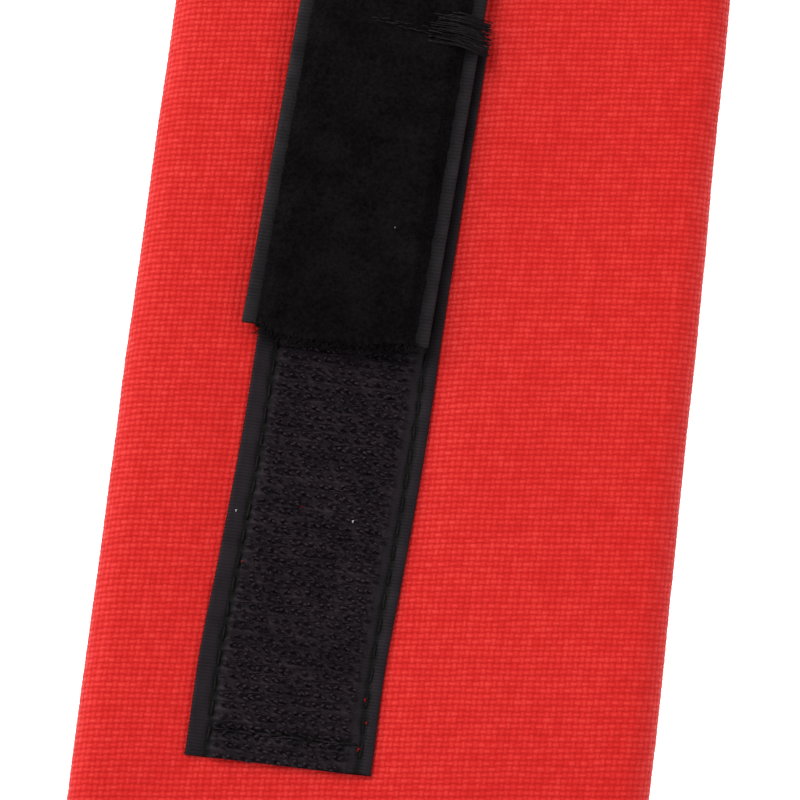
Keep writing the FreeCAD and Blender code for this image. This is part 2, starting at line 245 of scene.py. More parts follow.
STITCH_PITCH, STITCH_LENGTH, THREAD = 2.6, 2.05, 0.15

# ---- small numerical helpers ----


def smooth(x, low, high):
    """A smooth step from 0 at low to 1 at high."""
    t = np.clip((x - low) / (high - low), 0, 1)
    return t * t * (3 - 2 * t)


def bell(x, middle, width):
    """A smooth hump that is 1 at its middle."""
    return np.exp(-(((x - middle) / width) ** 2))


def value_noise(x, y, seed):
    """Smooth noise between -1 and 1 over a plane with cells one unit wide."""
    table = np.random.default_rng(seed).uniform(-1, 1, (64, 64))
    cell_x, cell_y = np.floor(x).astype(int), np.floor(y).astype(int)
    part_x, part_y = smooth(x - cell_x, 0, 1), smooth(y - cell_y, 0, 1)
    corner = lambda i, j: table[(cell_x + i) % 64, (cell_y + j) % 64]
    low = corner(0, 0) * (1 - part_x) + corner(1, 0) * part_x
    high = corner(0, 1) * (1 - part_x) + corner(1, 1) * part_x
    return low * (1 - part_y) + high * part_y


def cubic_weights(t):
    """Catmull-Rom weights of four neighbours."""
    return (
        (-t + 2 * t**2 - t**3) / 2,
        (2 - 5 * t**2 + 3 * t**3) / 2,
        (t + 4 * t**2 - 3 * t**3) / 2,
        (t**3 - t**2) / 2,
    )


def sample(grid, row, column):
    """Bicubic values of a grid whose first axis is a ring, at fractional places."""
    r, c = np.floor(row).astype(int), np.floor(column).astype(int)
    row_weights, column_weights = cubic_weights(row - r), cubic_weights(column - c)
    total = 0
    for i, a in enumerate(row_weights):
        for j, b in enumerate(column_weights):
            at = np.clip(c + j - 1, 0, grid.shape[1] - 1)
            total = total + (a * b)[..., None] * grid[(r + i - 1) % grid.shape[0], at]
    return total


# ---- meshes ----


def make_mesh(name, points, quads, material, slot, uv=None, smooth_shading=True):
    """An object from points in millimetres and four-cornered faces; a face may repeat its last corner."""
    mesh = bpy.data.meshes.new(name)
    points = np.asarray(points, float).reshape(-1, 3)
    quads = np.asarray(quads, int).reshape(-1, 4)
    triangles = quads[:, 2] == quads[:, 3]
    sizes = np.where(triangles, 3, 4)
    keep = np.ones_like(quads, bool)
    keep[triangles, 3] = False
    corners = quads[keep]
    mesh.vertices.add(len(points))
    mesh.vertices.foreach_set("co", (points * MM).astype(np.float32).ravel())
    mesh.loops.add(len(corners))
    mesh.loops.foreach_set("vertex_index", corners.astype(np.int32))
    mesh.polygons.add(len(quads))
    starts = np.concatenate([[0], np.cumsum(sizes)[:-1]]).astype(np.int32)
    mesh.polygons.foreach_set("loop_start", starts)
    mesh.polygons.foreach_set("use_smooth", np.full(len(quads), smooth_shading))
    if uv is not None:
        layer = mesh.uv_layers.new(name="yarns")
        layer.data.foreach_set("uv", np.asarray(uv, np.float32).reshape(-1, 2)[corners].ravel())
    mesh.update(calc_edges=True)
    mesh.validate()
    mesh.materials.append(material)
    piece = bpy.data.objects.new(name, mesh)
    bpy.context.scene.collection.objects.link(piece)
    if slot:
        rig.slot(piece, slot)
    return piece


def grid_quads(rows, columns, ring=False):
    """Faces over a grid of points numbered row by row; a ring joins the last column to the first."""
    r, c = np.meshgrid(np.arange(rows - 1), np.arange(columns if ring else columns - 1), indexing="ij")
    right = (c + 1) % columns
    here, ahead = r * columns, (r + 1) * columns
    return np.stack([here + c, here + right, ahead + right, ahead + c], -1).reshape(-1, 4)


def tubes(name, lines, radii, material, slot, sides=5):
    """Round threads along many lines, given as an array of (thread, point, xyz), with closed ends."""
    lines = np.asarray(lines, float)
    count, length = lines.shape[:2]
    radii = np.broadcast_to(np.asarray(radii, float), (count, length))
    along = np.gradient(lines, axis=1)
    along /= np.linalg.norm(along, axis=-1, keepdims=True) + 1e-12
    spread = np.linalg.norm(np.diff(lines, axis=1), axis=-1).sum(1)
    chord = lines[:, -1] - lines[:, 0]
    plane = np.cross(chord, lines[:, length // 2] - lines[:, 0])
    flat = np.linalg.norm(plane, axis=-1) < 1e-3 * spread**2
    plane[flat] = np.cross(chord[flat], [0.31, 0.17, 0.94])
    side = plane[:, None, :] - (plane[:, None, :] * along).sum(-1, keepdims=True) * along
    side /= np.linalg.norm(side, axis=-1, keepdims=True) + 1e-12
    other = np.cross(along, side)
    angle = np.arange(sides) * 2 * math.pi / sides
    ring = side[:, :, None, :] * np.cos(angle)[:, None] + other[:, :, None, :] * np.sin(angle)[:, None]
    points = lines[:, :, None, :] + ring * radii[:, :, None, None]
    faces = grid_quads(length, sides, ring=True)[:, ::-1]
    caps = []
    for level, turn in ((0, 1), (length - 1, -1)):
        base = level * sides
        for k in range(1, sides - 1):
            second, third = (base + k, base + k + 1)[::turn]
            caps.append([base, second, third, third])
    faces = np.concatenate([faces, np.array(caps)])
    offsets = np.arange(count)[:, None, None] * (length * sides)
    return make_mesh(name, points, faces[None] + offsets, material, slot)


# ---- materials ----


class Value:
    """A value in a shader. Each step of arithmetic on it adds a maths node."""

    def __init__(self, shader, socket):
        self.shader, self.socket = shader, socket

    def __add__(self, other):
        return self.shader.math("ADD", self, other)

    def __sub__(self, other):
        return self.shader.math("SUBTRACT", self, other)

    def __rsub__(self, other):
        return self.shader.math("SUBTRACT", other, self)

    def __mul__(self, other):
        return self.shader.math("MULTIPLY", self, other)

    def __mod__(self, other):
        return self.shader.math("FLOORED_MODULO", self, other)

    def __pow__(self, other):
        return self.shader.math("POWER", self, other)

    def __abs__(self):
        return self.shader.math("ABSOLUTE", self)

    def __round__(self, digits=None):
        return self.shader.math("ROUND", self)

    def __floor__(self):
        return self.shader.math("FLOOR", self)


class Shader:
    """A material with one Principled shader and short calls that make its nodes."""

    def __init__(self, name, **values):
        self.material = bpy.data.materials.new(name)
        self.material.use_nodes = True
        self.tree = self.material.node_tree
        self.surface = self.tree.nodes["Principled BSDF"]
        for socket, value in values.items():
            self.surface.inputs[socket.replace("_", " ")].default_value = value

    def join(self, value, socket):
        if isinstance(value, Value):
            self.tree.links.new(value.socket, socket)
        else:
            socket.default_value = value

    def node(self, kind, inputs=(), output=0, **settings):
        """One output of a new node."""
        made = self.tree.nodes.new(kind)
        for key, value in settings.items():
            setattr(made, key, value)
        for key, value in dict(inputs).items():
            self.join(value, made.inputs[key])
        return Value(self, made.outputs[output])

    def math(self, operation, *values):
        return self.node("ShaderNodeMath", enumerate(values), operation=operation)

    def ramp(self, value, low, high, start=0.0, end=1.0):
        limits = {"Value": value, "From Min": low, "From Max": high, "To Min": start, "To Max": end}
        return self.node("ShaderNodeMapRange", limits, interpolation_type="SMOOTHSTEP")

    def noise(self, vector, scale, detail=2.0):
        return self.node("ShaderNodeTexNoise", {"Vector": vector, "Scale": scale, "Detail": detail})

    def grain(self, scale, detail=2.0):
        """Noise fixed to the object, with its scale in cells a metre."""
        return self.noise(self.node("ShaderNodeTexCoord", output="Object"), scale, detail)

    def random(self, value):
        return self.node("ShaderNodeTexWhiteNoise", {"W": value}, noise_dimensions="1D")

    def yarns(self):
        """The two thread numbers that the mesh keeps as its UV map."""
        both = self.node("ShaderNodeTexCoord", output="UV")
        split = self.node("ShaderNodeSeparateXYZ", {0: both}).socket.node
        return Value(self, split.outputs[0]), Value(self, split.outputs[1])

    def vector(self, x, y, z=0.0):
        return self.node("ShaderNodeCombineXYZ", {0: x, 1: y, 2: z})

    def mix(self, factor, *colours):
        """A mix of two colours, each a shader value or three numbers."""
        first, second = [colour if isinstance(colour, Value) else (*colour, 1) for colour in colours]
        return self.node("ShaderNodeMix", {0: factor, 6: first, 7: second}, output=2, data_type="RGBA")

    def choose(self, factor, first, second):
        return self.node("ShaderNodeMix", {0: factor, 2: first, 3: second}, data_type="FLOAT")

    def finish(self, colour, roughness, height, depth, strength):
        """Sets the surface's colour, roughness and bump, and gives the material."""
        bump = self.node("ShaderNodeBump", {"Height": height, "Distance": depth, "Strength": strength})
        for value, socket in ((colour, "Base Color"), (roughness, "Roughness"), (bump, "Normal")):
            self.join(value, self.surface.inputs[socket])
        return self.material


def woven_cloth(name, dark, mid, light):
    """Plain weave: each crossing shows a float of the thread on top, with its filaments, its own shade, painted shade
    at its edges and a painted highlight on its crown.
    """
    cloth = Shader(name, Specular_IOR_Level=0.12)
    u, v = cloth.yarns()
    turn_u, turn_v = u * math.pi, v * math.pi
    push_u = cloth.math("COSINE", turn_v) * cloth.math("SINE", turn_u)
    push_v = cloth.math("COSINE", turn_u) * cloth.math("SINE", turn_v)
    u = cloth.math("MULTIPLY_ADD", push_u, FLOAT_SHIFT, u)
    v = cloth.math("MULTIPLY_ADD", push_v, -FLOAT_SHIFT, v)
    column, row = round(u), round(v)
    side_u, side_v = u - column, v - row
    weft_up = (column + row) % 2.0
    across, along = cloth.choose(weft_up, side_u, side_v), cloth.choose(weft_up, side_v, side_u)
    # crown: the height of each float, which also sets its colour: painted shade at its edges, painted highlight on top
    crown = 1.0 - abs(side_v) ** 2.0 * 2.7 - abs(side_u) ** 2.0 * 1.7 - (1.0 - weft_up) * 0.12
    filaments = cloth.noise(cloth.vector(across * 9.0, along * 0.9, column + row * 7.3), 1.0, 1.0)
    thread = cloth.choose(weft_up, cloth.random(column), cloth.random(row + 400.5))
    shade = crown + (filaments - 0.5) * 0.9 + (thread - 0.5) * 0.1
    shade = shade + (cloth.random(column + row * 61.7) - 0.5) * 0.1
    shade = shade + (cloth.grain(700.0) - 0.5) * 0.75 + (cloth.grain(55.0, 3.0) - 0.5) * 0.3
    # painted light: the dark colour is painted shade in the gaps between floats, the light colour a painted highlight
    # on their crowns
    body = cloth.mix(cloth.ramp(shade, 0.0, 0.75), dark, mid)
    colour = cloth.mix(cloth.ramp(shade, 0.62, 1.2), body, light)
    roughness = cloth.ramp(shade, 0.0, 1.0, 0.72, 0.46)
    return cloth.finish(colour, roughness, crown + filaments * 0.5, 0.00009, 0.7)


def ribbed_tape(name):
    """Nylon tape with fine ribs across it, painted lighter on their ridges and darker in their troughs, and soft
    mottling: its shader, its shade, and u and v in ribs.
    """
    tape = Shader(name, Specular_IOR_Level=0.1)
    u, v = tape.yarns()
    # wave: painted light and shade of the ribs, lighter on each ridge and darker in each trough
    wave = tape.math("COSINE", v * (2 * math.pi))
    thread = tape.noise(tape.vector(u * 1.6, v * 5.0), 1.0, 3.0)
    return tape, wave * 0.1 + thread * 0.8 + tape.grain(420.0) * 0.5, u, v


def finish_tape(tape, shade, colour):
    return tape.finish(colour, tape.ramp(shade, 0.2, 1.0, 0.75, 0.5), shade, 0.00005, 0.4)


def strap_tape_material():
    """Woven tape that darkens towards its pile: painted shade where the pile's raised edge stands over it."""
    dark, light = (0.0031, 0.0025, 0.003), (0.0178, 0.0141, 0.0169)
    tape, shade, u, _ = ribbed_tape("black_strap_tape")
    # painted shade: the selvedge darkens towards the pile, whose raised edge shades it
    clear_of_painted_shade = tape.ramp(abs(u) + shade * 1.5, 22.1, 25.9)
    return finish_tape(tape, shade, tape.mix(tape.ramp(shade, 0.25, 1.0) * clear_of_painted_shade, dark, light))


def hook_tape_material():
    """Plain ribbed edges, and between the seams a ground of rows, painted pale against the hooks' shadow, with painted
    shade under each hook and in the seams' grooves.
    """
    dark, light, pale = (0.0036, 0.0025, 0.0034), (0.0142, 0.0098, 0.0131), (0.0285, 0.0196, 0.0262)
    tape, shade, u, v = ribbed_tape("black_hook_tape")
    field = tape.ramp(abs(u), (HOOKED_HALF - 0.15) / TAPE_RIB, (HOOKED_HALF + 0.15) / TAPE_RIB, 1.0, 0.0)
    row = v * 0.5 - HOOK_PHASE
    wander = tape.grain(900.0, 1.0)
    column = u * (TAPE_RIB / HOOK_COLUMN) + math.floor(row + 0.5) * 0.5 + wander * 0.5
    along = tape.math("COSINE", row * (2 * math.pi))
    across = tape.math("COSINE", column * (2 * math.pi))
    # painted shade under each hook: the ground darkens at the foot of every hook
    gap = tape.ramp(along + across * 0.9, 0.1, 1.6)
    left, right = [abs(tape.math("MULTIPLY_ADD", u, TAPE_RIB, -at)) for at in SEAM_P.values()]
    cross = abs(v - 2 * CROSS_SEAM / HOOK_ROW) * (HOOK_ROW / 2) + (1.0 - field) * 9.0
    seam = tape.math("MINIMUM", tape.math("MINIMUM", left, right), cross)
    # painted shade in the seams' grooves: the colour turns nearly black along each seam
    clear_of_painted_shade = tape.ramp(seam + (wander - 0.5) * 0.7, 0.15, 0.6)
    # painted light: between the seams the ground takes the pale colour, lightened against the shadow that the hooks
    # cast on it
    body = tape.mix(tape.ramp(shade, 0.25, 1.0), dark, tape.mix(field, light, pale))
    # mixes the painted shade under the hooks into the ground
    body = tape.mix(field * (gap * 0.55), body, (0.0035, 0.0025, 0.0033))
    return finish_tape(tape, shade, tape.mix(clear_of_painted_shade, (0.0022, 0.0017, 0.0016), body))


def thread_material(name, dark, light, roughness, gloss=0.1):
    """Twisted thread or nylon filament, mottled along its length."""
    thread = Shader(name, Specular_IOR_Level=gloss)
    grain = thread.grain(2600.0)
    shade = grain * 0.6 + thread.grain(312.0) * 0.4
    colour = thread.mix(thread.ramp(shade, 0.35, 0.7), dark, light)
    mottled = thread.ramp(shade, 0.3, 0.7, roughness + 0.08, roughness - 0.08)
    return thread.finish(colour, mottled, grain, 0.00005, 0.5)


def pile_material(name, dark, light):
    """Brushed nylon loops: nearly black, dull and faintly mottled."""
    pile = Shader(name, Specular_IOR_Level=0.03)
    fine = pile.grain(2400.0, 3.0)
    shade = fine * 0.55 + pile.grain(190.0, 3.0) * 0.5
    colour = pile.mix(pile.ramp(shade, 0.35, 0.75), dark, light)
    return pile.finish(colour, pile.ramp(shade, 0.3, 0.8, 0.9, 0.7), fine, 0.0002, 0.8)


def padding_material():
    """White polyester fibre filling."""
    padding = Shader("white_padding", Specular_IOR_Level=0.15, Sheen_Weight=0.2)
    fine, broad = padding.grain(900.0, 4.0), padding.grain(90.0)
    colour = padding.mix(fine, (0.72, 0.71, 0.68), (0.88, 0.87, 0.84))
    return padding.finish(colour, padding.ramp(broad, 0.3, 0.7, 0.95, 0.85), fine + broad, 0.0006, 0.8)


def guard_material():
    """Thin translucent plastic sheet with a fine moulded grain."""
    guard = Shader("white_guard_plastic", Specular_IOR_Level=0.5, Transmission_Weight=0.25)
    scuff = guard.grain(120.0, 4.0)
    colour = guard.mix(scuff, (0.76, 0.76, 0.74), (0.84, 0.84, 0.82))
    return guard.finish(colour, guard.ramp(scuff, 0.3, 0.7, 0.32, 0.5), guard.grain(1500.0), 0.00003, 0.5)


# in both cloths the light colour is a painted highlight on the floats' crowns and the dark colour painted shade in the
# gaps
RED = woven_cloth("red_cover_cloth", (0.42, 0.007, 0.006), (0.535, 0.011, 0.0095), (0.62, 0.032, 0.026))
RED_PANEL = woven_cloth("red_panel_cloth", (0.4, 0.007, 0.006), (0.51, 0.011, 0.0095), (0.6, 0.032, 0.026))
TAPE, STRAP_TAPE = hook_tape_material(), strap_tape_material()
HOOKS = thread_material("black_nylon_hooks", (0.0085, 0.006, 0.0079), (0.0285, 0.0199, 0.0262), 0.6, 0.06)
RED_THREAD = thread_material("red_sewing_thread", (0.34, 0.005, 0.005), (0.6, 0.02, 0.018), 0.5)
BLACK_THREAD = thread_material("black_sewing_thread", (0.0024, 0.0017, 0.0017), (0.0068, 0.0048, 0.0046), 0.65)
FRAY = thread_material("black_frayed_yarn", (0.0035, 0.0027, 0.0033), (0.0145, 0.0115, 0.0135), 0.6)
GLINT = thread_material("dark_red_thread", (0.1, 0.002, 0.002), (0.3, 0.006, 0.006), 0.5)
LINT = thread_material("pale_lint", (0.22, 0.22, 0.23), (0.5, 0.49, 0.5), 0.7)
# the pile's surface takes a darker copy of its loops' colour: painted shade deep in the pile, under the lighter loose
# loops
PILE_IN_PAINTED_SHADE = pile_material("black_loop_pile", (0.0018, 0.0014, 0.0015), (0.0052, 0.0042, 0.0045))
LOOPS = pile_material("black_pile_loops", (0.003, 0.0025, 0.0027), (0.0132, 0.0114, 0.0117))
PADDING, GUARD = padding_material(), guard_material()

# ---- camera, floor and light ----

# fitted to the band's and the tapes' edges in the photo, in degrees and millimetres
TARGET = np.array([-0.638, -21.798, 5.0])
ELEVATION, AZIMUTH, ROLL, DISTANCE, LENS = 79.658, -0.477, 7.196, 328.8, 134.87

scene = bpy.context.scene
camera_data = bpy.data.cameras.new("camera")
camera = bpy.data.objects.new("camera", camera_data)
scene.collection.objects.link(camera)
tilt, turn = math.radians(ELEVATION), math.radians(AZIMUTH)
towards = Vector((math.sin(turn) * math.cos(tilt), -math.cos(turn) * math.cos(tilt), math.sin(tilt)))
upright = (-towards).to_track_quat("-Z", "Y").to_matrix().to_4x4()
place = Matrix.Translation((Vector(TARGET) + towards * DISTANCE) * MM)
camera.matrix_world = place @ upright @ Matrix.Rotation(math.radians(ROLL), 4, "Z")
camera_data.lens = LENS
camera_data.sensor_width = 36.0
camera_data.clip_start, camera_data.clip_end = 0.01, 20.0
scene.camera = camera
scene.view_settings.view_transform = "Standard"

FLOOR_DEPTH = 0.075
floor_mesh = bpy.data.meshes.new("floor")
floor_mesh.from_pydata([(-3, -3, 0), (3, -3, 0), (3, 3, 0), (-3, 3, 0)], [], [(0, 1, 2, 3)])
floor = bpy.data.objects.new("floor", floor_mesh)
floor.location.z = -FLOOR_DEPTH
scene.collection.objects.link(floor)
pale = Shader("pale_floor", Specular_IOR_Level=0.0, Emission_Strength=0.7, Roughness=1.0)
pale.surface.inputs["Emission Color"].default_value = (1, 1, 1, 1)
shade = pale.mix(pale.grain(6.0), (0.8, 0.8, 0.8), (0.82, 0.82, 0.82))
pale.join(shade, pale.surface.inputs["Base Color"])
floor_mesh.materials.append(pale.material)
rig.stage(floor)

world = bpy.data.worlds.new("studio")
world.use_nodes = True
world.node_tree.nodes["Background"].inputs[0].default_value = (1, 1, 1, 1)
world.node_tree.nodes["Background"].inputs[1].default_value = 0.72
scene.world = world


def area_light(name, at, size, power, aim=(0, 0, 0)):
    """A square soft light, in metres, that faces a point."""
    data = bpy.data.lights.new(name, "AREA")
    data.size, data.energy = size, power
    light = bpy.data.objects.new(name, data)
    light.location = at
    light.rotation_mode = "QUATERNION"
    light.rotation_quaternion = (Vector(aim) - Vector(at)).to_track_quat("-Z", "Y")
    scene.collection.objects.link(light)


area_light("key", (-0.55, 0.45, 0.75), 0.5, 6.8)
area_light("side", (-1.0, 0.12, 0.38), 0.4, 3.8)
area_light("fill", (0.8, -0.35, 0.6), 0.9, 3.6)

# ---- the band's outside surface ----


def section(s, inset):
    """The cover's cross-section at a distance s from its top middle: x, z and the outward direction."""
    a, side = np.abs(s), np.sign(s)
    r = np.maximum(SIDE_RADIUS - inset, 0.05)
    first = np.clip(a - FLAT_HALF, 0, QUARTER) / SIDE_RADIUS
    second = np.clip(a - FLAT_HALF - QUARTER - SIDE_FLAT, 0, QUARTER) / SIDE_RADIUS
    angle = first + second
    down = np.clip(a - FLAT_HALF - QUARTER, 0, SIDE_FLAT)
    inwards = np.maximum(a - UNDERSIDE_FROM, 0)
    x = np.minimum(a, FLAT_HALF) + r * np.sin(angle) - inwards
    z = TOP - SIDE_RADIUS - down + r * np.cos(angle)
    return side * x, z, side * np.sin(angle), np.cos(angle)


def along_band(path):
    """The y and inset of a distance along the band from its middle, with the end rolled over and tucked in."""
    a, side = np.abs(path), np.sign(path)
    roll = np.clip((a - ROUNDED_FROM) / END_RADIUS, 0, math.pi / 2)
    tuck = np.clip((a - ROUNDED_FROM - END_RADIUS * math.pi / 2) / TUCK_RADIUS, 0, math.pi / 2)
    back = np.maximum(a - TUCKED_FROM, 0)
    y = np.minimum(a, ROUNDED_FROM) + END_RADIUS * np.sin(roll) - TUCK_RADIUS * (1 - np.cos(tuck)) - back
    return side * y, END_RADIUS * (1 - np.cos(roll)) + TUCK_RADIUS * np.sin(tuck)


def tape_middle(y):
    """The middle of the hook tape, which was sewn on slightly crooked."""
    return TAPE_X + (y - TAPE_Y) * TAPE_SLOPE + 0.2 * bell(y, -27, 10) - 0.32 * bell(y, -52, 8)


def strap_middle(y):
    return STRAP_X + (y - STRAP_Y) * STRAP_SLOPE


def root_middle(y):
    return STRAP_X - (y - STRAP_Y) * STRAP_SLOPE


HULL_COLUMNS, HULL_ROWS = 44, 57
HULL_HALF = UNDERSIDE_FROM + FLAT_HALF
HULL_REACH = 77.5
HULL_FRAMES = 24
HULL_SCALE = 10.0  # the cloth solver works better on a larger hull
MOST_MOVE = 0.7


def held_dent(x, y, on_top):
    """How far the cloth is held down by seams, and whether it is held, in millimetres."""
    near = 0.8
    on_tape = (np.abs(x - tape_middle(y)) < TAPE_HALF + near) & (y > TAPE_Y - near) & (y < CREASE_Y + near)
    on_root = (np.abs(x - root_middle(y)) < STRAP_HALF + near) & (y > ROOT_FROM - near)
    on_seam = np.abs(np.abs(y) - SEAM_Y) < 1.4
    dent = np.where(on_seam & ~on_root, 1.0, np.where(on_tape | on_root, 0.12, 0.0))
    return np.where(on_top, dent, 0.0), on_top & (on_tape | on_root | on_seam)


def simulate_cover():
    """Blows the closed cover up a little with its seams held, and returns how far each point moved."""
    s = np.arange(HULL_COLUMNS) / HULL_COLUMNS * 2 * HULL_HALF
    s = np.where(s > HULL_HALF, s - 2 * HULL_HALF, s)
    s, path = np.meshgrid(s, np.linspace(-HULL_REACH, HULL_REACH, HULL_ROWS), indexing="ij")
    y, inset = along_band(path)
    x, z = section(s, inset)[:2]
    smooth_place = np.stack([x, y, z], -1)
    underneath = np.abs(s) > UNDERSIDE_FROM
    dent, held = held_dent(x, y, (np.abs(s) < FLAT_HALF + 1) & (inset < 2.0))
    start = np.stack([x, y, z - dent], -1)
    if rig.quick():
        return start - smooth_place
    held |= underneath | (np.abs(path) > HULL_REACH - 1)
    faces = grid_quads(HULL_COLUMNS + 1, HULL_ROWS) % (HULL_COLUMNS * HULL_ROWS)
    mesh = bpy.data.meshes.new("hull")
    mesh.from_pydata([tuple(p) for p in start.reshape(-1, 3) * MM * HULL_SCALE], [], faces[:, ::-1].tolist())
    hull = bpy.data.objects.new("hull", mesh)
    scene.collection.objects.link(hull)
    group = hull.vertex_groups.new(name="held")
    group.add([int(i) for i in np.flatnonzero(held.ravel())], 1.0, "REPLACE")
    cloth = hull.modifiers.new("cloth", "CLOTH")
    cloth.settings.quality = 8
    cloth.settings.mass = 0.15
    cloth.settings.tension_stiffness = 25
    cloth.settings.compression_stiffness = 25
    cloth.settings.shear_stiffness = 8
    cloth.settings.bending_stiffness = 2.5
    cloth.settings.vertex_group_mass = "held"
    cloth.settings.use_pressure = True
    cloth.settings.uniform_pressure_force = 1.0
    cloth.settings.effector_weights.gravity = 0.0
    cloth.point_cache.frame_start, cloth.point_cache.frame_end = 1, HULL_FRAMES
    for moment in range(1, HULL_FRAMES + 1):
        scene.frame_set(moment)
    shown = hull.evaluated_get(bpy.context.evaluated_depsgraph_get())
    blown = np.zeros(HULL_COLUMNS * HULL_ROWS * 3, np.float32)
    shown.data.vertices.foreach_get("co", blown)
    bpy.data.objects.remove(hull)
    bpy.data.meshes.remove(mesh)
    scene.frame_set(1)
    moved = blown.reshape(HULL_COLUMNS, HULL_ROWS, 3) / MM / HULL_SCALE - smooth_place
    length = np.linalg.norm(moved, axis=-1, keepdims=True)
    moved *= MOST_MOVE * np.tanh(length / MOST_MOVE) / np.maximum(length, 1e-9)
    moved[..., 0] = 0.0  # the long sides keep their line
    return np.where(underneath[..., None], 0.0, moved)


HULL_MOVES = simulate_cover()


def cover_surface(s, path):
    """Points on the cover at rest."""
    y, inset = along_band(path)
    x, z, nx, nz = section(s, inset)
    column = s / (2 * HULL_HALF) * HULL_COLUMNS
    row = (path + HULL_REACH) / (2 * HULL_REACH) * (HULL_ROWS - 1)
    points = np.stack([x, y, z], -1) + sample(HULL_MOVES, column, row)
    drift = value_noise(s / 17 + 5, path / 23 + 9, 3) * 0.16 + value_noise(s / 6 + 1, path / 7 + 2, 4) * 0.05
    bulge = 0.1 + 0.22 * bell(path, -6, 14) * (s > 0)
    points[..., 0] += (drift + bulge) * nx
    points[..., 2] += drift * np.clip(nz, 0, 1)
    return points


def top_height(x, y):
    """The height of the cover's outer face over a place."""
    return cover_surface(np.asarray(x, float), np.asarray(y, float))[..., 2]


WAVE, WARP_DEPTH, WEFT_DEPTH, WEAVE_SINK = 0.045, 0.08, 0.105, 0.05


def weave_height(u, v):
    """Relief of a plain weave with threads at whole numbers, from the middle of its thickness."""
    push_u, push_v = np.cos(math.pi * v) * np.sin(math.pi * u), np.cos(math.pi * u) * np.sin(math.pi * v)
    u, v = u + FLOAT_SHIFT * push_u, v - FLOAT_SHIFT * push_v
    column, row = np.round(u), np.round(v)
    warp = WAVE * np.cos(math.pi * (v - column)) - WARP_DEPTH * (2 * (u - column)) ** 2
    weft = -WAVE * np.cos(math.pi * (u - row)) - WEFT_DEPTH * (2 * (v - row)) ** 2
    return np.maximum(warp, weft)


def outward(points):
    """Unit directions out of a grid of points."""
    normal = np.cross(np.gradient(points, axis=1), np.gradient(points, axis=0))
    return normal / (np.linalg.norm(normal, axis=-1, keepdims=True) + 1e-12)


FOLDS = {"hook": ("hook_end", -1), "strap": ("strap_end", 1)}
PARTS = ("hook_end", "fold_hook", "fold_strap", "strap_end")


def across_fold(piece, fold):
    """Bends a piece over one of the band's two fold lines."""
    far, side = FOLDS[fold]
    start, end = side * (FOLD_Y - FOLD_REACH) * MM, side * (FOLD_Y + FOLD_REACH) * MM
    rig.blend(piece, "middle", far, start=(0, start, 0), end=(0, end, 0))


def along_the_band(pieces, node):
    """Bends four pieces, from the hook end to the strap end, with the band, in place of their CAD nodes."""
    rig.ride(pieces[0], "hook_end")
    across_fold(pieces[1], "hook")
    across_fold(pieces[2], "strap")
    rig.ride(pieces[3], "strap_end")
    for piece, part in zip(pieces, ("hook_end", "middle", "middle", "strap_end")):
        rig.replaces(piece, f"{node}_{part}")


def cloth_pieces(name, s_reach, slope, surface, material, slot, flip):
    """Cuts one woven sheet along its weft into four pieces, from the hook end to the strap end."""
    step = 1 / YARN_SAMPLES
    u_count = math.floor(s_reach / YARN * YARN_SAMPLES)
    v_count = (math.ceil((END_PATH + slope * s_reach) / YARN) + 1) * YARN_SAMPLES
    u, v = np.arange(-u_count, u_count + 1) * step, np.arange(-v_count, v_count + 1) * step
    v_grid, u_grid = np.meshgrid(v, u, indexing="ij")
    s, path = u_grid * YARN, v_grid * YARN + slope * u_grid * YARN
    points = surface(s, np.clip(path, -END_PATH, END_PATH))
    drift = lambda seed: 0.06 * value_noise(u_grid / 3, v_grid / 3, seed)
    u_wander = u_grid + 0.12 * value_noise(u_grid * 0.9, v_grid / 8, 61) + drift(62)
    v_wander = v_grid + 0.14 * value_noise(u_grid / 6, v_grid * 0.9, 63) + drift(64)
    relief = weave_height(u_wander, v_wander) - WEAVE_SINK
    relief += 0.02 * value_noise(u_grid / 1.3, v_grid / 1.3, 65)
    points = points + outward(points) * (-1 if flip else 1) * relief[..., None]
    points[..., 2] = np.maximum(points[..., 2], 0.0)
    uv = np.stack([u_wander, v_wander], -1)
    quads = grid_quads(len(v), len(u)).reshape(len(v) - 1, len(u) - 1, 4)
    if flip:
        quads = quads[..., ::-1]
    inside = np.abs(path) < END_PATH
    whole = inside[:-1, :-1] & inside[1:, 1:] & inside[:-1, 1:] & inside[1:, :-1]
    middle = (v[:-1] + v[1:]) / 2
    cuts = (-1e9, -PIECE_CUT, 0.5, PIECE_CUT, 1e9)
    made = []
    for part, low, high in zip(PARTS, cuts, cuts[1:]):
        chosen = (middle >= low) & (middle < high)
        used, faces = np.unique(quads[chosen][whole[chosen]], return_inverse=True)
        corners, threads = points.reshape(-1, 3)[used], uv.reshape(-1, 2)[used]
        made.append(make_mesh(f"{name}_{part}", corners, faces.reshape(-1, 4), material, slot, threads))
    return made


def panel_surface(s, path):
    """The wrist-side panel, folded under at its long edges and held in along its stitches."""
    y, inset = along_band(path)
    a, side = np.abs(s), np.sign(s)
    roll = np.clip((a - PANEL_HALF) / PANEL_ROLL, 0, math.pi)
    under = np.maximum(a - PANEL_HALF - PANEL_ROLL * math.pi, 0)
    x = side * (np.minimum(a, PANEL_HALF) + PANEL_ROLL * np.sin(roll) - under)
    channel = 0.22 * bell(a, PANEL_SEAM, 0.35) + 0.5 * bell(np.abs(path), SEAM_Y, 0.7)
    quilt = 0.1 + 0.06 * value_noise(s / 9, path / 11, 12)
    return np.stack([x, y, inset + PANEL_ROLL * (1 - np.cos(roll)) + channel + quilt], -1)


cover = cloth_pieces("cover", COVER_HALF, WEFT_SLOPE, cover_surface, RED, "red_cloth", False)
panel_reach = PANEL_HALF + PANEL_ROLL * math.pi + PANEL_HEM
panel = cloth_pieces("panel", panel_reach, 0.0, panel_surface, RED_PANEL, "panel_cloth", True)

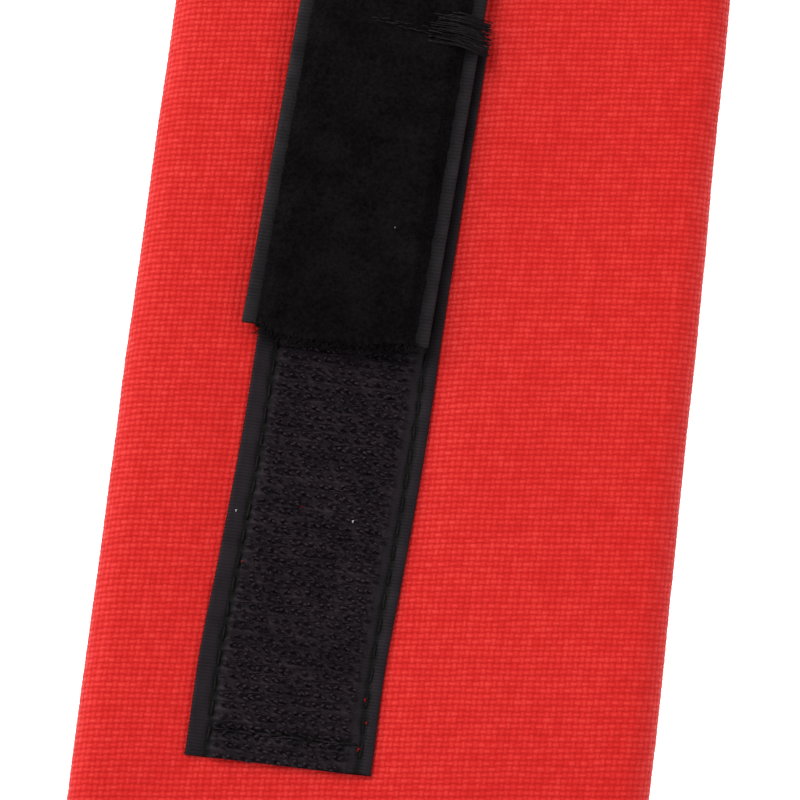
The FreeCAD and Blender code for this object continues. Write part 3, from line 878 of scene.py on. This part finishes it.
for pieces, node, width in (
    (cover, "outer_cover", 2 * COVER_HALF * MM),
    (panel, "back_panel", 2 * (PANEL_HALF + PANEL_HEM) * MM),
):
    for piece in pieces:
        length = sum(face.area for face in piece.data.polygons) / width
        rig.sheet(piece, flat=(width, length), held="stretched", rests_on=["cushion_pad_middle"])
    along_the_band(pieces, node)
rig.replaces(cover[0], "end_closure_hook_end")
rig.replaces(cover[3], "end_closure_strap_end")


# ---- padding inside ----


PAD_HALF, PAD_Z = 29.6, 4.15


def padding_piece(name, from_y, to_y):
    """A soft block of filling with crowned faces and rounded ends, inside the cover."""
    around = np.linspace(0, 2 * math.pi, 72, endpoint=False)
    t, angle = np.meshgrid(np.linspace(0, 1, 46), around, indexing="ij")
    ends = (1 - np.abs(2 * t - 1) ** 14) ** (1 / 3)
    squared = lambda wave: np.sign(wave) * np.abs(wave) ** 0.32
    x, z = PAD_HALF * squared(np.cos(angle)) * (0.985 + 0.015 * ends), 2.0 * squared(np.sin(angle)) * ends
    y = from_y + (to_y - from_y) * t
    waist = bell(np.abs(y), FOLD_Y, 8)  # slimmer where the band folds
    x = x * (1 - 0.07 * waist)
    lumps = value_noise(x / 5 + 7, y / 5 + 3, 21) * 0.14
    crown = 0.18 * (1 - (x / 31) ** 2)
    z = PAD_Z + z + np.sign(z) * (crown + lumps) * ends + 0.9 * waist * (z < 0)
    rows, columns = t.shape
    ring = np.arange(columns)
    following, top, hub = (ring + 1) % columns, (rows - 1) * columns, np.full(columns, rows * columns)
    faces = np.concatenate([
        grid_quads(rows, columns, ring=True),
        np.stack([following, ring, hub, hub], -1),
        np.stack([ring + top, following + top, hub + 1, hub + 1], -1),
    ])
    points = np.concatenate([np.stack([x, y, z], -1).reshape(-1, 3), [[0, from_y, PAD_Z], [0, to_y, PAD_Z]]])
    piece = make_mesh(name, points, faces, PADDING, "padding")
    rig.padded(piece, fill=0.8)
    return piece


PAD_RUNS = ((-70.2, -36.1), (-35.9, -0.1), (0.1, 35.9), (36.1, 70.2))
along_the_band([padding_piece(f"padding_{part}", *run) for part, run in zip(PARTS, PAD_RUNS)], "cushion_pad")

GUARD_CLEAR = FOLD_REACH + 0.4
GUARD_CORNER = 4
GUARD_EDGE = ((0.0, 0.15), (0.15, 0.0), (0.45, 0.0), (0.6, 0.15))  # height and inset up the plate's edge


def guard_sheet(end):
    """A guard plate that stops short of the folds, which bend softly over more than the gap in the CAD."""
    low, high = node_box(f"guard_plate_{end}")
    near, far = FOLD_Y - GUARD_CLEAR, FOLD_Y + GUARD_CLEAR
    low[1], high[1] = {"hook_end": (low[1], -far), "middle": (-near, near), "strap_end": (far, high[1])}[end]
    middle_x, middle_y = (low + high)[:2] / 2
    corner = np.linspace(0, math.pi / 2, 8)
    around = np.concatenate([corner + k * math.pi / 2 for k in range(4)])
    side_x, side_y = np.sign(np.cos(around + 1e-9)), np.sign(np.sin(around + 1e-9))
    rings = []
    for height, inset in GUARD_EDGE:
        half_x, half_y = (high - low)[:2] / 2 - inset - GUARD_CORNER
        x = middle_x + side_x * half_x + (GUARD_CORNER - inset) * np.cos(around)
        y = middle_y + side_y * half_y + (GUARD_CORNER - inset) * np.sin(around)
        rings.append(np.stack([x, y, np.full_like(x, low[2] + height)], -1))
    inner = [ring * [0.5, 0.5, 1] + [0, middle_y / 2, 0] for ring in (rings[0], rings[-1])]
    rings = np.array([inner[0], *rings, inner[1]])
    count = len(around)
    faces = [grid_quads(len(rings), count, ring=True)]
    half = np.arange(count // 2 - 1)
    for base, order in ((0, -1), ((len(rings) - 1) * count, 1)):
        lid = np.stack([base + half, base + half + 1, base + count - 2 - half, base + count - 1 - half], -1)
        faces.append(lid[:, ::order])
    plate = make_mesh(f"guard_sheet_{end}", rings, np.concatenate(faces), GUARD, "guard_plastic",
                      smooth_shading=False)
    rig.ride(plate, end)
    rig.replaces(plate, f"guard_plate_{end}")


for end in ("hook_end", "middle", "strap_end"):
    guard_sheet(end)

# ---- seams in the cloth ----


def stitch_lines(starts, ends, height, lift=0.14, dip=0.28):
    """Thread lines of a row of stitches: each rises from the cloth, lies along it and dips in again."""
    starts, ends = np.asarray(starts, float), np.asarray(ends, float)
    t = np.linspace(0, 1, 8)
    lines = starts[:, None] + (ends - starts)[:, None] * t[None, :, None]
    rise = np.minimum(1, 3.2 * np.sin(math.pi * t))
    x, y = lines[..., 0], lines[..., 1]
    z = height(x, y) + np.where(rise < 1, -dip * (1 - rise), 0) + lift * rise
    return np.stack([x, y, z], -1)


def row_of_stitches(start, end, length=STITCH_LENGTH):
    """The start and end points of the stitches that fit along a straight row."""
    start, end = np.array(start, float), np.array(end, float)
    run = np.linalg.norm(end - start)
    count = int(run // STITCH_PITCH)
    at = (np.arange(count) + 0.5) * run / count
    unit = (end - start) / run
    wander = rng.uniform(-0.05, 0.05, (count, 2))
    half = length / 2 * rng.uniform(0.93, 1.05, count)
    return start + unit * (at - half)[:, None], start + unit * (at + half)[:, None] + wander


def level(z):
    """A flat face for stitches to lie on."""
    return lambda x, y: np.full_like(x, z)


def panel_stitches(name, low, high):
    """The long seams of the back panel, which lie under it."""
    rows = [row_of_stitches((side * PANEL_SEAM, low), (side * PANEL_SEAM, high)) for side in (-1, 1)]
    lines = [stitch_lines(a, b, level(0.17), lift=0.0, dip=-0.25) for a, b in rows]
    return tubes(name, np.concatenate(lines), THREAD, RED_THREAD, "red_thread", sides=6)


SEAM_CUTS = (-71.5, -PIECE_CUT * YARN, 0.0, PIECE_CUT * YARN, 71.5)
along_the_band(
    [panel_stitches(f"panel_stitches_{part}", *run) for part, *run in zip(PARTS, SEAM_CUTS, SEAM_CUTS[1:])],
    "back_stitches",
)

for end, side in (("hook_end", -1), ("strap_end", 1)):
    a, b = row_of_stitches((-28.4, side * SEAM_Y), (28.4, side * SEAM_Y))
    if end == "strap_end":
        clear = np.abs((a + b)[:, 0] / 2 - root_middle(SEAM_Y)) > STRAP_HALF + 1.4
        a, b = a[clear], b[clear]
    seam = tubes(f"end_seam_{end}", stitch_lines(a, b, top_height), THREAD, RED_THREAD, "red_thread", sides=6)
    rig.ride(seam, end)
    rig.replaces(seam, f"end_stitches_{end}")

# ---- the hook tape ----


def outline(half, thickness, columns=60, edge=3):
    """The outline of a flat strip: the top from left to right, a round edge, the underside and back."""
    radius = thickness / 2
    turn = np.linspace(0, math.pi, edge + 2)[1:-1]
    top = np.linspace(-half + radius, half - radius, columns)
    under = np.linspace(half - radius, -half + radius, 9)
    right_p, right_h = half - radius + radius * np.sin(turn), radius + radius * np.cos(turn)
    across = np.concatenate([top, right_p, under, -right_p])
    return across, np.concatenate([np.full(columns, thickness), right_h, np.zeros(9), thickness - right_h])


def strip_faces(rows, columns):
    """Faces of a ring-by-ring strip, with both ends closed by bands between its top and underside."""
    caps = []
    for base, turned in ((0, False), ((rows - 1) * columns, True)):
        left, right = 0, columns - 1
        from_left = True
        while right - left > 1:
            inner = left + 1 if from_left else right - 1
            face = [base + left, base + inner, base + right]
            caps.append(face[::-1] + [face[0]] if turned else face + [face[2]])
            left, right = (inner, right) if from_left else (left, inner)
            from_left = not from_left
    return np.concatenate([grid_quads(rows, columns, ring=True), np.array(caps)])


def tape_height(x, y):
    """The height of the hook tape's ground above a place."""
    return top_height(x, y) + TAPE_THICK


def tape_relief(p, q):
    """Ribs of the selvedges, the groove of each long seam and the rows of the hooks' ground."""
    field = 1 - smooth(np.abs(p), TAPE_HALF - TAPE_SELVEDGE - 0.3, TAPE_HALF - TAPE_SELVEDGE)
    ribs = 0.016 * np.cos(2 * math.pi * q / TAPE_RIB) * (1 - field)
    groove = -0.2 * (bell(p, SEAM_P[-1], 0.4) + bell(p, SEAM_P[1], 0.4))
    ground = -0.1 * np.cos(2 * math.pi * (q / HOOK_ROW - HOOK_PHASE)) * field
    return ribs + groove + ground - 0.22 * bell(q, CROSS_SEAM, 0.55) * field


def tape_strip():
    """The woven hook tape, laid on the cover."""
    across, heights = outline(TAPE_HALF, TAPE_THICK)
    run = np.linspace(0, TAPE_LENGTH, 700)
    q, p = np.meshgrid(run, across, indexing="ij")
    y = TAPE_Y + q
    upper = (heights > TAPE_THICK * 0.75)[None, :]
    scallop = 0.05 * np.cos(2 * math.pi * q / TAPE_RIB) * (np.abs(p) > TAPE_HALF - 0.3)
    x = tape_middle(y) + p + scallop
    z = top_height(x, y) - 0.03 + heights + np.where(upper, tape_relief(p, q), 0)
    cut = value_noise(p * 3, 0 * p, 31) * 0.1 * ((q == 0) | (q == TAPE_LENGTH))
    pitch = np.where(np.abs(p) < TAPE_HALF - TAPE_SELVEDGE, HOOK_ROW / 2, TAPE_RIB)
    uv = np.stack([p / TAPE_RIB, q / pitch], -1)
    faces = strip_faces(len(run), len(across))
    return make_mesh("hook_tape", np.stack([x, y + cut, z], -1), faces, TAPE, "black_tape", uv)


hook_tape = tape_strip()
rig.replaces(hook_tape, "hook_tape_hook_end", "hook_tape_middle")
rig.sheet(hook_tape, flat=(2 * TAPE_HALF * MM, TAPE_LENGTH * MM), held="laid", rests_on=["cover_fold_hook"])
across_fold(hook_tape, "hook")


def hook_lines():
    """Hooks in staggered rows: each stands up, bends over and points down again."""
    lines, radii = [], []
    t = np.linspace(0, 1, 9)
    for row in range(int(TAPE_LENGTH / HOOK_ROW - 0.3)):
        q_row = (row + HOOK_PHASE) * HOOK_ROW
        for k in np.arange(-14, 15):
            p = (k / 2 - (row % 2) / 2) * HOOK_COLUMN
            if abs(p) > HOOKED_HALF:
                continue
            way = 1 if k % 2 else -1
            at_p, at_q = p + rng.normal(0, 0.08), q_row + way * 0.13 + rng.normal(0, 0.06)
            lean = rng.normal(0, 0.12, 2)
            turn = way * rng.uniform(0.1, 0.7) + (0 if rng.random() < 0.7 else math.pi)
            tall = rng.uniform(0.55, 0.72)
            trodden = 1 - 0.72 * bell(at_q, CROSS_SEAM, 0.6)
            reach = rng.uniform(0.22, 0.36)
            bend = np.clip((t - 0.38) / 0.5, 0, 1) * math.pi * 1.05
            out = reach / 2 * (1 - np.cos(bend)) * (1.8 - 0.8 * trodden)
            drop = 0.22 * np.clip((t - 0.88) / 0.12, 0, 1)
            rise = np.clip(t / 0.38, 0, 1) * (tall - 0.28) + 0.28 * np.sin(bend) - drop
            x = tape_middle(TAPE_Y + at_q) + at_p + math.cos(turn) * out + lean[0] * rise
            y = TAPE_Y + at_q + math.sin(turn) * out + lean[1] * rise
            lines.append(np.stack([x, y, rise * trodden - 0.1 * (1 - np.clip(t / 0.1, 0, 1))], -1))
            radii.append(rng.uniform(0.11, 0.145) * (1 + 0.12 * np.clip((t - 0.8) / 0.2, 0, 1)))
    lines = np.array(lines)
    lines[..., 2] += tape_height(lines[..., 0].mean(1), lines[..., 1].mean(1))[:, None] - 0.05
    return lines, np.array(radii)


hooks = tubes("hooks", *hook_lines(), HOOKS, "nylon_hooks", sides=6)
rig.replaces(hooks, "hook_field_hook_end", "hook_field_middle")
across_fold(hooks, "hook")


def ground_filaments(count=1700):
    """Loose filaments of the hooks' ground, which lie between the rows."""
    t = np.linspace(0, 1, 6)
    p = rng.uniform(-6.9, 6.9, count)
    q = (np.round(rng.uniform(0, 74, count)) + HOOK_PHASE + 0.5) * HOOK_ROW + rng.normal(0, 0.09, count)
    turn = rng.normal(0, 0.12, count)
    out = (t - 0.5) * rng.uniform(0.8, 2.2, count)[:, None]
    x = (tape_middle(TAPE_Y + q) + p)[:, None] + np.cos(turn)[:, None] * out
    y = TAPE_Y + q[:, None] + np.sin(turn)[:, None] * out
    z = tape_height(x, y) + 0.02 + np.sin(math.pi * t) * rng.uniform(0.1, 0.4, count)[:, None]
    return np.stack([x, y, z], -1)


ground = tubes("hook_ground_filaments", ground_filaments(), 0.055, HOOKS, "nylon_hooks", sides=4)
across_fold(ground, "hook")


def tape_stitches():
    """The tape's own seams: along both selvedges and across the lower end."""
    runs = []
    for at in SEAM_P.values():
        a, b = row_of_stitches((at, TAPE_Y + 1.2), (at, CREASE_Y - 1.0), length=1.8)
        a[:, 0] += tape_middle(a[:, 1])
        b[:, 0] += tape_middle(b[:, 1]) + rng.normal(0, 0.08, len(b))
        runs.append(stitch_lines(a, b, tape_height, lift=-0.13, dip=0.4))
    y = TAPE_Y + CROSS_SEAM
    a, b = row_of_stitches(*[(tape_middle(y) + at, y) for at in SEAM_P.values()])
    runs.append(stitch_lines(a, b, tape_height, lift=0.0, dip=0.35))
    return np.concatenate(runs)


tape_seam = tubes("hook_tape_stitches", tape_stitches(), THREAD, BLACK_THREAD, "black_thread", sides=6)
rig.replaces(tape_seam, "hook_tape_stitches_hook_end", "hook_tape_stitches_middle")
across_fold(tape_seam, "hook")


def specks(name, places, size, material, slot):
    """Small kinked wisps of thread lying at given places."""
    t = np.linspace(-1, 1, 7)
    lines = []
    for x, y, z, scale in places:
        turn = rng.uniform(0, math.pi)
        curl = size * scale * np.stack([t, 0.5 * np.sin(3 * t + turn), 0.35 * np.cos(4 * t + turn)], -1)
        spin = np.array([[math.cos(turn), -math.sin(turn), 0], [math.sin(turn), math.cos(turn), 0], [0, 0, 1]])
        lines.append(curl @ spin.T + [x, y, z])
    return tubes(name, lines, size * 0.42, material, slot, sides=6)


def on_the_tape(x, y, lift):
    return x, y, float(tape_height(x, y)) + lift


# red lining thread that shows in some stitch holes, and lint caught by the hooks
glints = [(-0.6, -55.1, 1.0), (-0.2, -57.5, 0.7), (-0.7, -60.4, 1.2), (-15.5, -41.8, 0.6), (-9.9, -35.2, 0.7)]
red_places = [(*on_the_tape(x, y, 0.15), scale) for x, y, scale in glints]
across_fold(specks("hook_tape_red_glints", red_places, 0.17, GLINT, "red_thread"), "hook")
lint = [(-4.15, -36.21, 0.9, 1.0), (-16.84, -36.37, 0.05, 0.8)]
lint_places = [(*on_the_tape(x, y, lift), scale) for x, y, lift, scale in lint]
across_fold(specks("hook_tape_lint", lint_places, 0.13, LINT, None), "hook")

# ---- the strap ----

LOOP_RADIUS = (FLAP_TAPE - ROOT_TAPE) / 2
NOSE_Z = (FLAP_TAPE + ROOT_TAPE) / 2


def strap_run(kind, step=0.3):
    """Points of the face between tape and pile, in y and z, their outward directions, and the middle's x."""
    if kind == "root":
        y = np.arange(ROOT_FROM, STRAP_Y + 1e-6, step)
        return np.stack([y, np.full_like(y, ROOT_TAPE)], -1), np.tile([0.0, -1.0], (len(y), 1)), root_middle(y)
    if kind == "nose":
        angle = np.linspace(-math.pi / 2, math.pi / 2, 22)
        normal = np.stack([np.cos(angle), np.sin(angle)], -1)
        return np.array([STRAP_Y, NOSE_Z]) + LOOP_RADIUS * normal, normal, np.full(len(angle), STRAP_X)
    ends = (STRAP_Y, TIP_CUT) if kind == "flap" else (TIP_CUT, TIP_Y)
    y = np.linspace(*ends, int(abs(ends[0] - ends[1]) / step) + 1)
    return np.stack([y, np.full_like(y, FLAP_TAPE)], -1), np.tile([0.0, 1.0], (len(y), 1)), strap_middle(y)


def strap_sag(y, x):
    """How far the free part of the strap lies lower or higher than its straight run."""
    beyond = smooth(-y, -CREASE_Y + 1.0, -CREASE_Y + 5.0)
    crease = 0.22 * np.exp(-(((y - CREASE_Y - 0.12 * (x + 6)) / 0.8) ** 2))
    ripple = 0.12 * value_noise(x / 8 + 3, y / 9 + 4, 41)
    return crease + ripple * smooth(STRAP_Y - 8 - y, 0, 12) - 0.12 * beyond


def tip_shift(y, p):
    """How far the askew cut moves the strap's last millimetres along it."""
    return TIP_SLANT * (STRAP_HALF - p) * smooth(-y, -TIP_Y - 4, -TIP_Y)


def tip_overhang(p):
    """How far the brushed pile reaches past the cut end of its tape."""
    return 0.1 + 0.95 * np.exp(-(((p + 1.5) / 6.5) ** 4))


def strap_path(run):
    """Distances along a stretch of the strap."""
    return np.concatenate([[0], np.cumsum(np.linalg.norm(np.diff(run, axis=0), axis=1))])


def tape_layer(path):
    """Places along and across, heights and relief of a stretch of the strap's woven tape."""
    across, heights = outline(STRAP_HALF, STRAP_THICK)
    s, p = np.meshgrid(path, across, indexing="ij")
    heights = np.tile(heights - STRAP_THICK, (len(path), 1))
    edge = np.abs(p) > STRAP_HALF - STRAP_SELVEDGE
    ribs = 0.012 * np.cos(2 * math.pi * s / STRAP_RIB) * np.where(edge, 1, 0.5)
    return s, p, heights, np.where((heights > -0.1) | (heights < -0.4), ribs, 0)


def pile_layer(kind, path):
    """The same for a stretch of the strap's pile, with its ragged edges."""
    turned = (1 - np.cos(np.linspace(0, math.pi, len(path)))) / 2
    share = {"root": 0 * path, "nose": turned, "flap": 0 * path + 1, "tip": 0 * path + 1}[kind]
    depth = (PILE_ROOT + (PILE_FLAP - PILE_ROOT) * share)[:, None]
    across, heights = outline(PILED_HALF, 0.4)
    bare_from = STRAP_HALF - STRAP_SELVEDGE
    full = 1 - smooth(np.abs(across), bare_from - 1.3, bare_from + 0.3)
    heights = np.where(heights > 0.2, 1.0, 0.0) * (0.15 + 0.85 * full)[None, :] * depth
    s, p = np.meshgrid(path, across, indexing="ij")
    bumps = value_noise(p / 0.45, s / 0.45 + 13, 51) * 0.13 + value_noise(p / 1.9, s / 1.9, 52) * 0.1
    relief = np.where(heights > 0.2, bumps * depth / PILE_FLAP, 0)
    ragged = value_noise(s / 0.35, np.sign(p) * 9 + 20, 53)
    ragged += 0.5 * value_noise(s / 1.2, np.sign(p) * 5 + 11, 54)
    return s, p + 0.08 * ragged * smooth(np.abs(p), 7.4, 8.6), heights, relief


def strap_piece(kind, layer, name):
    """The woven tape or the pile of one stretch of the strap."""
    run, normal, middle = strap_run(kind)
    path = strap_path(run)
    s, p, heights, relief = tape_layer(path) if layer == "tape" else pile_layer(kind, path)
    lift = heights + relief
    x = middle[:, None] + p
    y = run[:, None, 0] + normal[:, None, 0] * lift
    z = run[:, None, 1] + normal[:, None, 1] * lift
    if kind == "tip":
        last = smooth(-y, -TIP_Y - 2.4, -TIP_Y)
        y = y + tip_shift(y, p)
        if layer == "pile":
            y = y - tip_overhang(p) * last
            z = z - 0.55 * last * np.where(heights > 0.2, 1, 0.3)
    if kind in ("flap", "tip"):
        z = z + strap_sag(y, x)
    uv = np.stack([p / STRAP_RIB, s / STRAP_RIB], -1)
    # the pile's surface takes the darker copy of the loops' colour, painted shade deep in the pile
    material, slot = (STRAP_TAPE, "black_tape") if layer == "tape" else (PILE_IN_PAINTED_SHADE, "loop_pile")
    return make_mesh(name, np.stack([x, y, z], -1), strip_faces(*p.shape), material, slot, uv)


FIBRES_PER_MM2, TIP_FIBRES = 7.0, 1500


def strap_fibres(kind, name):
    """Loose loops of the pile: short curled fibres standing on its face."""
    run, normal, middle = strap_run(kind)
    path = strap_path(run)
    count = int(FIBRES_PER_MM2 * path[-1] * 2 * PILED_HALF)
    s = rng.uniform(0, path[-1], count)
    p = rng.uniform(-PILED_HALF, PILED_HALF, count) + rng.normal(0, 0.28, count)
    at = lambda column: np.interp(s, path, column)
    home = np.stack([at(middle) + p, at(run[:, 0]), at(run[:, 1])], -1)
    up = np.stack([np.zeros(count), at(normal[:, 0]), at(normal[:, 1])], -1)
    side = np.array([1.0, 0.0, 0.0])
    ahead = np.cross(up, side)
    depth = {"nose": (PILE_ROOT + PILE_FLAP) / 2}.get(kind, PILE_FLAP)
    base = depth * (0.35 + 0.5 * (1 - smooth(np.abs(p), PILED_HALF - 0.9, PILED_HALF)))
    t = np.linspace(0, 1, 5)
    turn, bend = rng.uniform(0, 2 * math.pi, count), rng.uniform(0.6, 2.6, count)
    size = rng.uniform(0.16, 0.42, count)
    wind = turn[:, None] + bend[:, None] * t
    flat = np.stack([np.cumsum(np.cos(wind), 1), np.cumsum(np.sin(wind), 1)], -1) * size[:, None, None] / 4
    rise = base[:, None] + (0.12 + rng.uniform(0, 0.16, count))[:, None] * np.sin(math.pi * t * 0.8 + 0.2)
    lines = home[:, None] + up[:, None] * rise[..., None]
    lines = lines + side * flat[..., :1] + ahead[:, None] * flat[..., 1:]
    if kind == "tip":
        lines[..., 1] += tip_shift(lines[..., 1], lines[..., 0] - strap_middle(lines[..., 1]))
        lines = np.concatenate([lines, tip_fringe(TIP_FIBRES, len(t))])
    if kind in ("flap", "tip"):
        lines[..., 2] += strap_sag(lines[..., 1], lines[..., 0])
    return tubes(name, lines, 0.03, LOOPS, "loop_pile", sides=3)


def tip_fringe(count, points):
    """Fibres of the cut pile that hang over the strap's end."""
    t = np.linspace(0, 1, points)
    p = rng.uniform(-8.1, 8.7, count)
    reach = rng.uniform(0.15, 0.75, count)
    y0 = TIP_Y + TIP_SLANT * (STRAP_HALF - p) - tip_overhang(p) + rng.uniform(0, 0.9, count)
    z0 = FLAP_TAPE - 0.45 + rng.uniform(0.1, 1.0, count) * PILE_FLAP
    side = rng.normal(0, 1.0, count)
    x = (strap_middle(y0) + p)[:, None] + side[:, None] * t * reach[:, None]
    y = y0[:, None] - (reach + 0.3)[:, None] * np.sin(t * 1.35)
    z = z0[:, None] + rng.uniform(-0.7, 0.25, count)[:, None] * t**2
    return np.stack([x, y, z], -1)


def bend_strap(piece, kind):
    """Rides or blends a piece of the strap on the bodies of its stretch."""
    if kind == "root":
        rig.ride(piece, "strap_end")
    if kind == "nose":
        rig.blend(piece, "strap_end", "strap_turn", start=(0, 0, 0.0069), end=(0, 0, 0.0105))
    if kind == "flap":
        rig.blend(piece, "strap_turn", "strap_flap", start=(0, 0.0772, 0), end=(0, 0.0712, 0))
    if kind == "tip":
        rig.blend(piece, "strap_flap", "strap_tip", start=(0, 0.023, 0), end=(0, 0.011, 0))


strap = {}
for kind in ("root", "nose", "flap", "tip"):
    for layer, name in (("tape", f"strap_{kind}_woven_tape"), ("pile", f"strap_{kind}_loop_pile")):
        piece = strap[kind, layer] = strap_piece(kind, layer, name)
        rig.replaces(piece, "strap_turn" if kind == "nose" else f"strap_{kind}_{layer}")
        bend_strap(piece, kind)
    if kind != "root":
        bend_strap(strap_fibres(kind, f"strap_{kind}_loops"), kind)

NOSE = [strap["nose", "tape"], strap["nose", "pile"]]
for kind, length, under, more in (
    ("root", STRAP_Y - ROOT_FROM, "cover_strap_end", []),
    ("flap", STRAP_Y - TIP_CUT, "strap_root_loop_pile", NOSE),
    ("tip", TIP_CUT - TIP_Y, "strap_flap_woven_tape", []),
):
    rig.sheet(strap[kind, "tape"], flat=(2 * STRAP_HALF * MM, length * MM), held="laid", rests_on=[under],
             with_pieces=[strap[kind, "pile"], *more])


def frayed_yarns(count=120, pulled=26):
    """Yarns of the hook tape's frayed end that lie over the strap's edge, and pulled threads of its pile."""
    t = np.linspace(0, 1, 9)
    p0, p1 = 8.8 - 4.6 * rng.random(count) ** 2, rng.uniform(10.2, 11.5, count)
    y0 = rng.uniform(17.3, 21.2, count)
    fall = 0.06 * (p1 - p0) + rng.normal(0, 0.12, count)
    y = y0[:, None] - fall[:, None] * t + 0.06 * np.sin(5 * t + rng.uniform(0, 6, count)[:, None])
    p = p0[:, None] + (p1 - p0)[:, None] * t
    arch = np.sin(math.pi * t)
    z = 10.75 - 2.0 * smooth(p, 7.6, 11.6) + rng.uniform(-0.2, 0.25, count)[:, None] + 0.1 * arch
    lines = [np.stack([strap_middle(y) + p, y, z], -1)]
    for k in range(pulled):
        at = k / pulled + np.linspace(0, 0.07, 9)
        x = -8.6 + 13.0 * at + rng.normal(0, 0.05)
        y = 19.1 - 1.9 * at**2 + rng.normal(0, 0.2) + 0.06 * np.sin(at * 60)
        lines.append(np.stack([x, y, 10.72 + 0.12 * arch], -1)[None])
    return np.concatenate(lines)


bend_strap(tubes("strap_frayed_yarns", frayed_yarns(), 0.06, FRAY, "black_tape", sides=5), "tip")
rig.ride(specks("strap_lint", [(-3.39, -3.96, 10.75, 1.0)], 0.07, LINT, None), "strap_tip")


def root_stitches():
    """The box of stitching that holds the strap's root."""
    low, high = ROOT_FROM + 1.4, ROOT_TO - 1.0
    corner = lambda side, inset, y: (root_middle(y) + side * (STRAP_HALF - inset), y)
    rows = [row_of_stitches(corner(side, 1.4, low), corner(side, 1.4, high)) for side in (-1, 1)]
    rows += [row_of_stitches(corner(-1, 1.6, y), corner(1, 1.6, y)) for y in (low, high)]
    return np.concatenate([stitch_lines(a, b, level(8.0), lift=0.1) for a, b in rows])


root_seam = tubes("strap_root_seam", root_stitches(), THREAD, BLACK_THREAD, "black_thread", sides=6)
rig.ride(root_seam, "strap_end")
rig.replaces(root_seam, "strap_root_stitches")

with open("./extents.json", "w") as file:
    json.dump({"cad": CAD_BOX, "visual": [list(corner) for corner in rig.bounds()]}, file)
